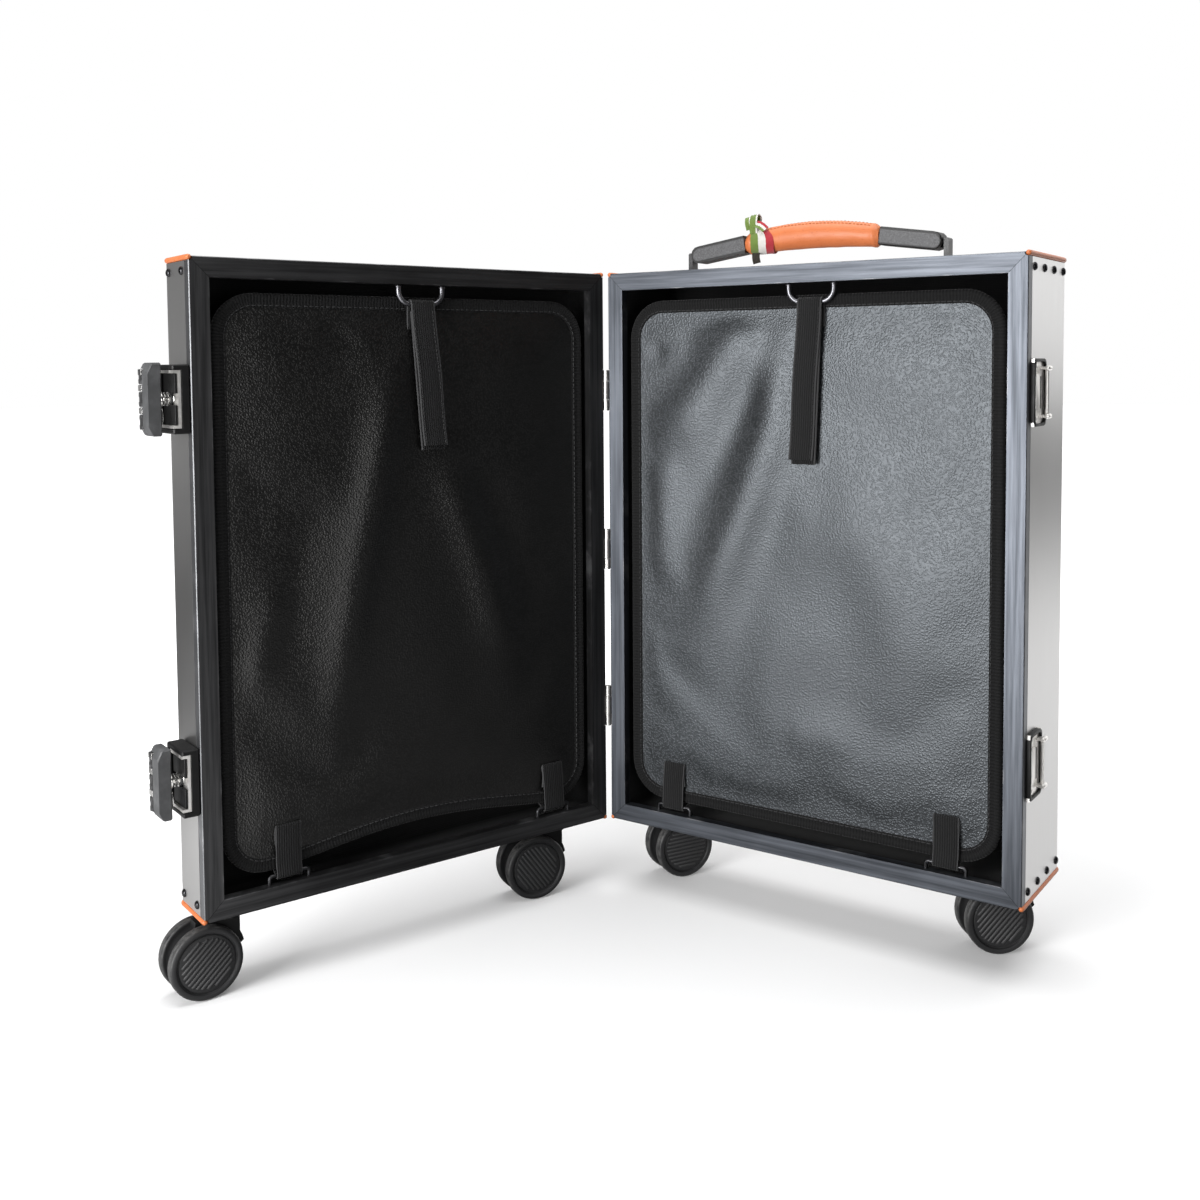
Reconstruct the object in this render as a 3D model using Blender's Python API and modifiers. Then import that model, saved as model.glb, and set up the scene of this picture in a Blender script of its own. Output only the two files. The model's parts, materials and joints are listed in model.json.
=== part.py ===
"""Aluminium cabin suitcase on four twin-wheel casters, standing open like a book.

The deep base half is square to the axes: X runs from the hinge across the width, Y from the mouth to the back
and Z up from the floor. The lid half is modelled closed, in front of the base, and turned open on its hinge.
"""

import math
from collections import namedtuple

import bmesh
import bpy
from mathutils import Matrix, Vector

# Casters
CASTER_FROM_HINGE_SIDE = 0.042
CASTER_FROM_FREE_SIDE = 0.027
WHEEL_RADIUS = 0.028
CASTER_TRAIL = 0.743 * WHEEL_RADIUS
WHEEL_WIDTH = 0.010
WHEEL_RIM = 0.0048
WHEEL_DISH = 0.0011
WHEEL_SHOULDER = 0.0012
WHEEL_STEPS = 24
WEB_THICKNESS = 0.011
WEB_CLEARANCE = 0.0005
WEB_RADIUS = WHEEL_RADIUS - 0.008
FENDER_RADIUS = WHEEL_RADIUS + 0.0016
FENDER_END = math.radians(100)
HORN_RADIUS = WHEEL_RADIUS + 0.0045
HORN_START = math.radians(13)
NECK_HALF_WIDTH = 0.008
AXLE_RADIUS = 0.003
AXLE_REACH = 0.66 * WHEEL_WIDTH
SWIVEL_RADIUS = 0.012
STEM_RADIUS = 0.005
STEM_HEAD_RADIUS = 0.008
STEM_HEAD = 0.002
HEAD_HEIGHT = 0.008

# Which way each caster trails, about Z, as the suitcase stands in the picture
BASE_HINGE_SIDE_HEADING = math.radians(59)
BASE_FREE_SIDE_HEADING = math.radians(39)
LID_HINGE_SIDE_HEADING = math.radians(61)
LID_FREE_SIDE_HEADING = math.radians(70)

# Shell
SHELL_WIDTH = 0.370
SHELL_HEIGHT = 0.490
BASE_DEPTH = 0.0987
LID_DEPTH = 0.0513
FLOOR_CLEARANCE = 2 * WHEEL_RADIUS + HEAD_HEIGHT
SHEET = 0.0015
FIT_GAP = 0.0003
BEND_RADIUS = 0.0048
OPEN_ANGLE = math.radians(108.8)

# Mouth frame
FRAME_FACE = 0.015
FRAME_DEPTH = 0.0085
FRAME_CHAMFER = 0.0006
TONGUE_THICKNESS = 0.003
TONGUE_DEPTH = 0.008
TONGUE_SETBACK = 0.026

# Top and bottom caps, the piping in their joints, and the rivets
CAP_DROP = 0.0012
CAP_FLANGE = 0.016
PIPING_RADIUS = 0.002
PIPING_PROUD = 0.0012
PIPING_TIP = 0.7
RIVET_RADIUS = 0.0028
RIVET_HEIGHT = 0.0016
RIVET_TIP = 0.55
RIVET_ROOT = 0.0008
RIVET_EDGE = 0.010
RIVET_FROM_MOUTH = 0.015
RIVET_FROM_BACK = 0.0085
RIVET_PITCH = 0.026
BACK_RIVETS = 6
RIVET_SIDES = 8

# Hinges
HINGE_OFFSET = 0.0024
MOUTH_GAP = 0.0002
HINGE_SPACING = 0.29 * SHELL_HEIGHT
MIDDLE_KNUCKLE = 0.46
HINGE_HEIGHT = 0.036
HINGE_LEAF = 0.022
LEAF_THICKNESS = 0.0012
KNUCKLE_RADIUS = 0.0027
KNUCKLE_GAP = 0.0004
PIN_RADIUS = 0.0011
ROUND_STEPS = 16

# Latches and keepers
LATCH_ABOVE_MIDDLE = 0.29 * SHELL_HEIGHT
LATCH_BELOW_MIDDLE = 0.2827 * SHELL_HEIGHT
LATCH_HEIGHT = 0.050
LATCH_LENGTH = 0.034
LATCH_SETBACK = 0.0015
LATCH_BED = 0.0062
LATCH_RIM = 0.013
LATCH_WALL = 0.0034
LATCH_CHAMFER = 0.0009
CLAW_HEIGHT = LATCH_HEIGHT - 2 * LATCH_WALL - 0.0012
CLAW_FLANGE = 0.0063
CLAW_SHEET = 0.0022
CLAW_LENGTH = LATCH_LENGTH - LATCH_WALL - LATCH_SETBACK - 0.0031
CLAW_THROW = 0.012
SHAFT_RADIUS = 0.0035
KNOB_STANDOFF = LATCH_RIM + 0.0055
KNOB_THICKNESS = 0.010
KNOB_WIDTH = 0.020
KNOB_HEIGHT = 0.053
KNOB_TAPER = 0.007
KNOB_CHAMFER = 0.001
DIAL_RADIUS = 0.0042
DIAL_WIDTH = 0.2075 * KNOB_HEIGHT
DIAL_PITCH = 0.311 * KNOB_HEIGHT
DIAL_PROUD = 0.0010
DIAL_SIDES = 12
SPINDLE_RADIUS = 0.0011
KEEPER_SETBACK = 0.0065
KEEPER_LENGTH = 0.029
KEEPER_PLATE = 0.003
KEEPER_RIM = 0.0014
KEEPER_RECESS = 0.0014
KEEPER_WALL = 0.0022
KEEPER_TAB_REACH = 0.0075
KEEPER_TAB = 0.006
KEEPER_TAB_SPACING = 0.72 * LATCH_HEIGHT
KEEPER_ROD_RADIUS = 0.0014

# Carry handle on the base's top cap
HANDLE_DEPTH = 0.029
GRIP_LENGTH = 0.119
GRIP_MIDDLE_RADIUS = 0.0108
GRIP_END_RADIUS = 0.0086
GRIP_RISE = 0.0250
GRIP_END_RISE = 0.0207
GRIP_SIDES = 4
GRIP_POINTS = 9
ARM_REACH = 0.112
ARM_HEIGHT = 0.0145
ARM_WIDTH = 0.015
ARM_CHAMFER = 0.0012
ARM_END_RISE = 0.0130
CORE_HEIGHT = 0.005
CORE_WIDTH = 0.009
CORE_OVERLAP = 0.006
LUG_THICKNESS = 0.004
LUG_WIDTH = 0.009
LUG_FOOT = 0.016
LUG_FOOT_THICKNESS = 0.0015
LUG_HOOK = 0.003
LUG_HOOK_LENGTH = 0.008
LUG_HOOK_RISE = ARM_END_RISE
HANDLE_LIFT = 0.004
RIBBON_START = -0.0575
RIBBON_WIDTH = 0.025
RIBBON_THICKNESS = 0.0012
RIBBON_KNOT = 0.0062
RIBBON_KNOT_SPREAD = 1.25
RIBBON_TAIL = 0.012

# Dividers and their webbing
DIVIDER_WIDTH = SHELL_WIDTH - 2 * FRAME_FACE - 0.008
DIVIDER_THICKNESS = 0.0055
DIVIDER_CORNER = 0.030
DIVIDER_BOTTOM_GAP = 0.0105
DIVIDER_SETBACK = 0.0085
DIVIDER_CROWN = 0.0036
DIVIDER_FOLD = 0.0022
DIVIDER_FOLD_WIDTH = 0.030
DIVIDER_BORDER = 0.075
DIVIDER_COLUMNS = 18
DIVIDER_ROWS = 22
FOLD_APEX_DROP = 0.125
FOLD_SPREAD = 0.34
RING_WIDTH = 0.041
RING_DROP = 0.0120
RING_WIRE = 0.0018
RING_DEPTH = 0.0046
DIVIDER_TOP_GAP = RING_DROP + 0.0005
STRAP_WIDTH = 0.0215
STRAP_THICKNESS = 0.0014
STRAP_STITCHED = 0.006
STRAP_ROOT = 0.012
LOOP_WIDTH = 0.0205
LOOP_THICKNESS = 0.0014
LOOP_SPACING = 0.665 * SHELL_WIDTH
LOOP_HEIGHT = 0.037
LOOP_TAIL = 0.009
STAPLE_WIRE = 0.0014
STAPLE_RISE = 0.0062
STAPLE_DEPTH = 0.0055
STAPLE_WIDTH = 0.032

# Where the two halves differ
BASE_CASTER_DEPTH = 0.843 * BASE_DEPTH
BASE_STRAP_SHIFT = 0.010
BASE_STRAP_LEAN = -0.008
BASE_STRAP_LENGTH = 0.128
BASE_LOOP_SHIFT = 0.0015
LID_CASTER_DEPTH = 0.542 * LID_DEPTH
LID_STRAP_SHIFT = -0.0045
LID_STRAP_LEAN = -0.011
LID_STRAP_LENGTH = 0.114
LID_LOOP_SHIFT = -0.0065

Half = namedtuple("Half", [
    "name", "depth", "mirrored", "parent", "caster_depth",
    "strap_shift", "strap_lean", "strap_length", "loop_shift",
])

for old in list(bpy.data.objects):
    bpy.data.objects.remove(old, do_unlink=True)

parts = bpy.data.collections.new("suitcase")
cutters = bpy.data.collections.new("suitcase_cutters")
bpy.context.scene.collection.children.link(parts)
bpy.context.scene.collection.children.link(cutters)


def finish(name, colour, roughness, metallic):
    material = bpy.data.materials.new(name)
    material.use_nodes = True
    shader = material.node_tree.nodes["Principled BSDF"]
    shader.inputs["Base Color"].default_value = (*colour, 1)
    shader.inputs["Roughness"].default_value = roughness
    shader.inputs["Metallic"].default_value = metallic
    material.diffuse_color = (*colour, 1)
    return material


PANEL_ALUMINIUM = finish("panel_aluminium", (0.36, 0.35, 0.34), 0.42, 1.0)
FRAME_ALUMINIUM = finish("frame_aluminium", (0.07, 0.07, 0.075), 0.40, 0.9)
ORANGE_LEATHER = finish("orange_leather", (0.68, 0.21, 0.07), 0.48, 0.0)
BRIGHT_STEEL = finish("bright_steel", (0.70, 0.69, 0.67), 0.25, 1.0)
BLACK_PLASTIC = finish("black_plastic", (0.018, 0.018, 0.019), 0.45, 0.0)
DIAL_GREY = finish("dial_grey", (0.035, 0.035, 0.037), 0.5, 0.0)
WHEEL_RUBBER = finish("wheel_rubber", (0.022, 0.022, 0.023), 0.55, 0.0)
BLACK_LEATHER = finish("black_leather", (0.022, 0.022, 0.024), 0.46, 0.0)
BLACK_WEBBING = finish("black_webbing", (0.018, 0.018, 0.018), 0.8, 0.0)
RIBBON_CLOTH = finish("ribbon_cloth", (0.75, 0.72, 0.66), 0.8, 0.0)


def mesh_of(shape):
    """Turn a bmesh into a mesh with its faces pointing out."""
    bmesh.ops.recalc_face_normals(shape, faces=shape.faces)
    mesh = bpy.data.meshes.new("shape")
    shape.to_mesh(mesh)
    shape.free()
    return mesh


def block(low, high):
    """A box between two corners."""
    shape = bmesh.new()
    bmesh.ops.create_cube(shape, size=1.0)
    size = Vector(high) - Vector(low)
    middle = (Vector(high) + Vector(low)) / 2
    stretch = Matrix.Translation(middle) @ Matrix.Diagonal((*size, 1))
    bmesh.ops.transform(shape, matrix=stretch, verts=shape.verts)
    return mesh_of(shape)


def rod(radius, low, high, axis="Z", at=(0, 0), steps=ROUND_STEPS, tip=1.0):
    """A cylinder along an axis, centred at the two other coordinates; tip scales its far end."""
    shape = bmesh.new()
    bmesh.ops.create_cone(shape, cap_ends=True, segments=steps, radius1=radius, radius2=radius * tip,
                          depth=high - low)
    middle = (low + high) / 2
    turn, place = {
        "Z": (Matrix.Identity(4), (at[0], at[1], middle)),
        "X": (Matrix.Rotation(math.pi / 2, 4, "Y"), (middle, at[0], at[1])),
        "Y": (Matrix.Rotation(-math.pi / 2, 4, "X"), (at[0], middle, at[1])),
    }[axis]
    bmesh.ops.transform(shape, matrix=Matrix.Translation(place) @ turn, verts=shape.verts)
    return mesh_of(shape)


def mesh_from_curve(curve):
    """The closed mesh that a curve makes, with its caps welded on."""
    holder = bpy.data.objects.new("curve", curve)
    cutters.objects.link(holder)
    evaluated = holder.evaluated_get(bpy.context.evaluated_depsgraph_get())
    mesh = bpy.data.meshes.new_from_object(evaluated)
    bpy.data.objects.remove(holder, do_unlink=True)
    shape = bmesh.new()
    shape.from_mesh(mesh)
    bmesh.ops.remove_doubles(shape, verts=shape.verts, dist=1e-6)
    bpy.data.meshes.remove(mesh)
    return mesh_of(shape)


PRISM_TURNS = {
    "XY": Matrix.Identity(4),
    "XZ": Matrix.Rotation(math.pi / 2, 4, "X"),
    "YZ": Matrix(((0, 0, 1, 0), (1, 0, 0, 0), (0, 1, 0, 0), (0, 0, 0, 1))),
}


def prism(outline, low, high, plane="XY"):
    """A flat outline in the named plane, thick from low to high along the third axis."""
    curve = bpy.data.curves.new("outline", "CURVE")
    curve.dimensions = "2D"
    curve.fill_mode = "BOTH"
    curve.extrude = (high - low) / 2
    spline = curve.splines.new("POLY")
    spline.points.add(len(outline) - 1)
    for point, (first, second) in zip(spline.points, outline):
        point.co = (first, second, 0, 1)
    spline.use_cyclic_u = True
    mesh = mesh_from_curve(curve)
    mesh.transform(PRISM_TURNS[plane])
    shift = Vector((0, 0, 0))
    shift["XYZ".index(({"X", "Y", "Z"} - set(plane)).pop())] = (low + high) / 2
    mesh.transform(Matrix.Translation(shift))
    return mesh


def wire(points, radius, resolution=2, radii=None):
    """A round wire or tube along points, with optional shares of its radius at each point."""
    curve = bpy.data.curves.new("wire", "CURVE")
    curve.dimensions = "3D"
    curve.bevel_depth = radius
    curve.bevel_resolution = resolution
    curve.use_fill_caps = True
    spline = curve.splines.new("POLY")
    spline.points.add(len(points) - 1)
    for index, (point, place) in enumerate(zip(spline.points, points)):
        point.co = (*place, 1)
        point.radius = radii[index] if radii else 1.0
    return mesh_from_curve(curve)


def arc(centre, radius, start, end, steps):
    """Points along an arc in a plane, angles in radians."""
    turns = [start + (end - start) * step / steps for step in range(steps + 1)]
    return [(centre[0] + radius * math.cos(turn), centre[1] + radius * math.sin(turn)) for turn in turns]


def band(path, thickness):
    """The closed outline of a band that follows a flat path, half its thickness to each side."""
    left, right = [], []
    for index, (first, second) in enumerate(path):
        before = Vector(path[max(index - 1, 0)])
        after = Vector(path[min(index + 1, len(path) - 1)])
        along = (after - before).normalized()
        side = Vector((-along.y, along.x)) * thickness / 2
        left.append((first + side.x, second + side.y))
        right.append((first - side.x, second - side.y))
    return left + right[::-1]


def together(meshes):
    """Several closed meshes as one mesh of separate bodies, for a cut or a union."""
    shape = bmesh.new()
    for mesh in meshes:
        shape.from_mesh(mesh)
    return mesh_of(shape)


def flipped(mesh):
    """The mesh mirrored through the mouth plane, faces still pointing out."""
    mesh.transform(Matrix.Diagonal((1, -1, 1, 1)))
    mesh.flip_normals()
    return mesh


def empty(name, parent, place=(0, 0, 0), turn=0.0):
    holder = bpy.data.objects.new(name, None)
    holder.parent = parent
    holder.location = place
    holder.rotation_euler = (0, 0, turn)
    parts.objects.link(holder)
    return holder


def piece(name, mesh, material, parent, place=(0, 0, 0), turn=0.0, mirrored=False):
    """A named solid under its parent; a mirrored one and its place are flipped through the mouth plane."""
    mesh = flipped(mesh) if mirrored else mesh
    mesh.name = name
    mesh.materials.append(material)
    solid = bpy.data.objects.new(name, mesh)
    solid.parent = parent
    solid.location = (place[0], -place[1], place[2]) if mirrored else place
    solid.rotation_euler = (0, 0, turn)
    solid["mirrored"] = mirrored
    parts.objects.link(solid)
    return solid


def combine(solid, meshes, operation):
    """Cut or join shapes that are given in the solid's own coordinates."""
    mesh = together(meshes)
    mesh = flipped(mesh) if solid["mirrored"] else mesh
    tool = bpy.data.objects.new(solid.name + "_" + operation.lower(), mesh)
    tool.parent = solid
    tool.hide_render = True
    tool.display_type = "WIRE"
    cutters.objects.link(tool)
    modifier = solid.modifiers.new(operation.lower(), "BOOLEAN")
    modifier.operation = operation
    modifier.object = tool


def chamfer(solid, width, segments=1):
    modifier = solid.modifiers.new("chamfer", "BEVEL")
    modifier.width = width
    modifier.segments = segments
    modifier.limit_method = "ANGLE"


def turned(profile, steps):
    """A profile of radius and height pairs, top to bottom, turned about Z."""
    shape = bmesh.new()
    corners = [shape.verts.new((radius, 0, height)) for radius, height in profile]
    for first, second in zip(corners, corners[1:]):
        shape.edges.new((first, second))
    mesh = bpy.data.meshes.new("profile")
    shape.to_mesh(mesh)
    shape.free()
    holder = bpy.data.objects.new("profile", mesh)
    cutters.objects.link(holder)
    screw = holder.modifiers.new("turn", "SCREW")
    screw.steps = steps
    screw.render_steps = steps
    screw.use_merge_vertices = True
    screw.merge_threshold = 0.00001
    evaluated = holder.evaluated_get(bpy.context.evaluated_depsgraph_get())
    solid = bpy.data.meshes.new_from_object(evaluated)
    bpy.data.objects.remove(holder, do_unlink=True)
    shape = bmesh.new()
    shape.from_mesh(solid)
    bmesh.ops.remove_doubles(shape, verts=shape.verts, dist=1e-6)
    return mesh_of(shape)


# Half shells: a U-shaped wrap, a flanged cap above and below, piping in the joints

MIDDLE = SHELL_HEIGHT / 2
HINGE_LEVELS = {"upper": MIDDLE + HINGE_SPACING, "middle": MIDDLE, "lower": MIDDLE - HINGE_SPACING}
LATCH_LEVELS = {"upper": MIDDLE + LATCH_ABOVE_MIDDLE, "lower": MIDDLE - LATCH_BELOW_MIDDLE}
FRAME_BACK = FRAME_DEPTH + FIT_GAP
CAP_INSET = SHEET + FIT_GAP
CAP_BEND = BEND_RADIUS - CAP_INSET
PIPING_INSET = PIPING_RADIUS - PIPING_PROUD
PIPING_REACH = CAP_BEND + PIPING_RADIUS + FIT_GAP
PIPING_ACROSS = CAP_INSET + CAP_BEND - PIPING_INSET
PIPING_RISE = CAP_DROP + CAP_BEND - math.sqrt(PIPING_REACH ** 2 - PIPING_ACROSS ** 2)
WRAP_EDGE = PIPING_RISE + PIPING_RADIUS + FIT_GAP
BEND_STEPS = 4


def rivet_places(half):
    """Outward direction and place of each rivet on the wrap, at the top and the bottom edge."""
    first = RIVET_FROM_MOUTH
    last = half.depth - RIVET_FROM_BACK
    count = 1 + round((last - first) / RIVET_PITCH)
    side = [first + (last - first) * index / (count - 1) for index in range(count)]
    span = SHELL_WIDTH - 2 * RIVET_FROM_MOUTH
    across = [RIVET_FROM_MOUTH + span * index / (BACK_RIVETS - 1) for index in range(BACK_RIVETS)]
    for height in (RIVET_EDGE, SHELL_HEIGHT - RIVET_EDGE):
        for depth in side:
            yield "hinge_side", (depth, height)
            yield "free_side", (depth, height)
        for place in across:
            yield "back", (place, height)


def rivet(half, side, place):
    """A low dome rivet, sunk a little into the sheet."""
    root, top = -RIVET_ROOT, RIVET_HEIGHT
    if side == "free_side":
        return rod(RIVET_RADIUS, SHELL_WIDTH + root, SHELL_WIDTH + top, "X", place, RIVET_SIDES, RIVET_TIP)
    if side == "back":
        return rod(RIVET_RADIUS, half.depth + root, half.depth + top, "Y", place, RIVET_SIDES, RIVET_TIP)
    head = rod(RIVET_RADIUS, root, top, "X", (place[0], place[1]), RIVET_SIDES, RIVET_TIP)
    head.transform(Matrix.Diagonal((-1, 1, 1, 1)))
    head.flip_normals()
    return head


def wrap_path(half, inset):
    """The wrap's plan, from the mouth at the hinge side round the back to the mouth at the free side."""
    radius = BEND_RADIUS - inset
    back = half.depth - BEND_RADIUS
    path = [(inset, FRAME_BACK)]
    path += arc((BEND_RADIUS, back), radius, math.pi, math.pi / 2, BEND_STEPS)
    path += arc((SHELL_WIDTH - BEND_RADIUS, back), radius, math.pi / 2, 0, BEND_STEPS)
    path.append((SHELL_WIDTH - inset, FRAME_BACK))
    return path


def add_wrap(half):
    outline = wrap_path(half, 0) + wrap_path(half, SHEET)[::-1]
    mesh = prism(outline, WRAP_EDGE, SHELL_HEIGHT - WRAP_EDGE)
    wrap = piece(half.name + "_wrap", mesh, PANEL_ALUMINIUM, half.parent, mirrored=half.mirrored)
    combine(wrap, [rivet(half, side, place) for side, place in rivet_places(half)], "UNION")


def caster_places(half):
    return {
        "hinge_side": (CASTER_FROM_HINGE_SIDE, half.caster_depth),
        "free_side": (SHELL_WIDTH - CASTER_FROM_FREE_SIDE, half.caster_depth),
    }


def add_cap(half, end):
    """A tray of sheet: flat outside, three flanges folded inside the wrap, open towards the mouth."""
    shape = bmesh.new()
    bmesh.ops.create_cube(shape, size=1.0)
    low = Vector((CAP_INSET, FRAME_BACK, SHELL_HEIGHT - CAP_DROP - CAP_FLANGE))
    high = Vector((SHELL_WIDTH - CAP_INSET, half.depth - CAP_INSET, SHELL_HEIGHT - CAP_DROP))
    stretch = Matrix.Translation((low + high) / 2) @ Matrix.Diagonal((*(high - low), 1))
    bmesh.ops.transform(shape, matrix=stretch, verts=shape.verts)
    open_faces = [face for face in shape.faces if face.normal.z < -0.5 or face.normal.y < -0.5]
    bmesh.ops.delete(shape, geom=open_faces, context="FACES_ONLY")
    folds = [edge for edge in shape.edges if len(edge.link_faces) == 2]
    bmesh.ops.bevel(shape, geom=folds, offset=CAP_BEND, segments=3, profile=0.5, affect="EDGES")
    mesh = bpy.data.meshes.new("cap")
    shape.to_mesh(mesh)
    shape.free()
    if end == "bottom":
        mesh.transform(Matrix.Translation((0, 0, SHELL_HEIGHT)) @ Matrix.Diagonal((1, 1, -1, 1)))
        mesh.flip_normals()
    name = half.name + "_" + end + "_cap"
    cap = piece(name, mesh, PANEL_ALUMINIUM, half.parent, mirrored=half.mirrored)
    sheet = cap.modifiers.new("sheet", "SOLIDIFY")
    sheet.thickness = SHEET
    sheet.offset = -1
    sheet.use_even_offset = True
    if end == "bottom":
        holes = [rod(STEM_RADIUS + 2 * FIT_GAP, 0, CAP_FLANGE, "Z", place, 2 * ROUND_STEPS)
                 for place in caster_places(half).values()]
        combine(cap, holes, "DIFFERENCE")


def add_piping(half, end):
    """A leather cord in the joint between a cap and the wrap, from mouth to mouth round the back."""
    rise = PIPING_RISE if end == "bottom" else SHELL_HEIGHT - PIPING_RISE
    radius = BEND_RADIUS - PIPING_INSET
    back = half.depth - BEND_RADIUS
    path = [(PIPING_INSET, FIT_GAP), (PIPING_INSET, PIPING_RADIUS)]
    path += arc((BEND_RADIUS, back), radius, math.pi, math.pi / 2, BEND_STEPS)
    path += arc((SHELL_WIDTH - BEND_RADIUS, back), radius, math.pi / 2, 0, BEND_STEPS)
    path += [(SHELL_WIDTH - PIPING_INSET, PIPING_RADIUS), (SHELL_WIDTH - PIPING_INSET, FIT_GAP)]
    swell = [PIPING_TIP] + [1.0] * (len(path) - 2) + [PIPING_TIP]
    mesh = wire([(across, depth, rise) for across, depth in path], PIPING_RADIUS, 2, swell)
    piece(half.name + "_" + end + "_piping", mesh, ORANGE_LEATHER, half.parent, mirrored=half.mirrored)


def loop_places(half):
    middle = SHELL_WIDTH / 2 + half.loop_shift
    return {"hinge_side": middle - LOOP_SPACING / 2, "free_side": middle + LOOP_SPACING / 2}


LOOP_AXIS = (STAPLE_DEPTH, FRAME_FACE + STAPLE_RISE)


def staple(across):
    """A wire staple welded to the frame's lower rail, which a webbing loop goes round."""
    half_width = STAPLE_WIDTH / 2
    foot = FRAME_FACE - STAPLE_WIRE
    depth, height = LOOP_AXIS
    corner = STAPLE_WIRE * 1.5
    path = [
        (across - half_width, depth, foot),
        (across - half_width, depth, height - corner),
        (across - half_width + corner, depth, height),
        (across + half_width - corner, depth, height),
        (across + half_width, depth, height - corner),
        (across + half_width, depth, foot),
    ]
    return wire(path, STAPLE_WIRE)


def add_mouth_frame(half):
    """The flat mitred rim, with tongues that go inside the sheet and the two loop staples."""
    mesh = block((0, 0, 0), (SHELL_WIDTH, FRAME_DEPTH, SHELL_HEIGHT))
    frame = piece(half.name + "_mouth_frame", mesh, FRAME_ALUMINIUM, half.parent, mirrored=half.mirrored)
    chamfer(frame, FRAME_CHAMFER)
    inside = block((FRAME_FACE, -FRAME_DEPTH, FRAME_FACE),
                   (SHELL_WIDTH - FRAME_FACE, 2 * FRAME_DEPTH, SHELL_HEIGHT - FRAME_FACE))
    combine(frame, [inside], "DIFFERENCE")
    groove = PIPING_RADIUS + FIT_GAP
    grooves = [rod(groove, -FRAME_DEPTH, FRAME_DEPTH + FIT_GAP, "Y", (across, height))
               for across in (PIPING_INSET, SHELL_WIDTH - PIPING_INSET)
               for height in (PIPING_RISE, SHELL_HEIGHT - PIPING_RISE)]
    room = KNUCKLE_RADIUS + 2 * KNUCKLE_GAP
    tall = HINGE_HEIGHT / 2 + KNUCKLE_GAP
    notches = [block((-room, -room, height - tall), (room - HINGE_OFFSET, room - MOUTH_GAP, height + tall))
               for height in HINGE_LEVELS.values()]
    combine(frame, notches, "DIFFERENCE")
    combine(frame, grooves, "DIFFERENCE")
    start = FRAME_DEPTH - FRAME_CHAMFER
    end = FRAME_DEPTH + TONGUE_DEPTH
    side_low = CAP_INSET
    side_high = side_low + TONGUE_THICKNESS
    cap_low = CAP_DROP + CAP_INSET
    cap_high = cap_low + TONGUE_THICKNESS
    far_across = SHELL_WIDTH - TONGUE_SETBACK
    far_up = SHELL_HEIGHT - TONGUE_SETBACK
    tongues = [
        block((side_low, start, TONGUE_SETBACK), (side_high, end, far_up)),
        block((SHELL_WIDTH - side_high, start, TONGUE_SETBACK), (SHELL_WIDTH - side_low, end, far_up)),
        block((TONGUE_SETBACK, start, cap_low), (far_across, end, cap_high)),
        block((TONGUE_SETBACK, start, SHELL_HEIGHT - cap_high), (far_across, end, SHELL_HEIGHT - cap_low)),
    ]
    combine(frame, tongues, "UNION")
    combine(frame, [staple(across) for across in loop_places(half).values()], "UNION")


# Dividers: padded leather panels, their straps, rings and loops

DIVIDER_LOW = FRAME_FACE + DIVIDER_BOTTOM_GAP
DIVIDER_HIGH = SHELL_HEIGHT - FRAME_FACE - DIVIDER_TOP_GAP


def ease(value):
    value = min(max(value, 0.0), 1.0)
    return value * value * (3 - 2 * value)


def divider_front(across, height):
    """How far the padded front stands towards the mouth, with two soft folds that spread from the strap."""
    from_side = DIVIDER_WIDTH / 2 - abs(across)
    from_end = min(height - DIVIDER_LOW, DIVIDER_HIGH - height)
    border = ease(from_side / DIVIDER_BORDER) * ease(from_end / DIVIDER_BORDER)
    below_apex = DIVIDER_HIGH - FOLD_APEX_DROP - height
    fold = 0.0
    if below_apex > 0:
        off_ridge = (abs(across) - FOLD_SPREAD * below_apex) / DIVIDER_FOLD_WIDTH
        fold = math.exp(-off_ridge * off_ridge) - 0.6 * math.exp(-(off_ridge + 1.6) ** 2)
    return border * (DIVIDER_CROWN + DIVIDER_FOLD * fold)


def add_divider(half):
    """A rounded panel whose front has its crown and folds; its origin is on the staples' axis."""
    shape = bmesh.new()
    bmesh.ops.create_grid(shape, x_segments=DIVIDER_COLUMNS, y_segments=DIVIDER_ROWS, size=1.0)
    half_height = (DIVIDER_HIGH - DIVIDER_LOW) / 2
    middle = (DIVIDER_HIGH + DIVIDER_LOW) / 2
    for corner in shape.verts:
        across_share, up_share = corner.co.x, math.sin(corner.co.y * math.pi / 2)
        height = middle + up_share * half_height
        into_corner = max(0.0, abs(height - middle) - (half_height - DIVIDER_CORNER))
        into_corner = min(into_corner, DIVIDER_CORNER)
        half_width = DIVIDER_WIDTH / 2 - DIVIDER_CORNER + math.sqrt(DIVIDER_CORNER ** 2 - into_corner ** 2)
        across = across_share * half_width
        depth = DIVIDER_SETBACK - divider_front(across, height)
        corner.co = (across, depth - LOOP_AXIS[0], height - LOOP_AXIS[1])
    bmesh.ops.remove_doubles(shape, verts=shape.verts, dist=1e-6)
    for face in shape.faces:
        face.normal_update()
        if face.normal.y > 0:
            face.normal_flip()
    mesh = bpy.data.meshes.new("divider")
    shape.to_mesh(mesh)
    shape.free()
    divider = piece(half.name + "_divider", mesh, BLACK_LEATHER, half.parent,
                    (SHELL_WIDTH / 2, *LOOP_AXIS), mirrored=half.mirrored)
    padding = divider.modifiers.new("padding", "SOLIDIFY")
    padding.thickness = DIVIDER_THICKNESS
    padding.offset = -1


def webbing_depth(across, width, thickness, height):
    """The middle of a webbing band laid on the padded front, clear of it over the band's whole width."""
    pitch = (DIVIDER_HIGH - DIVIDER_LOW) / DIVIDER_ROWS
    lifts = [divider_front(across + side * width / 2, height + step * pitch)
             for side in (-1, 0, 1) for step in (-1, 0, 1)]
    return DIVIDER_SETBACK - max(lifts) - 2 * FIT_GAP - thickness / 2


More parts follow.
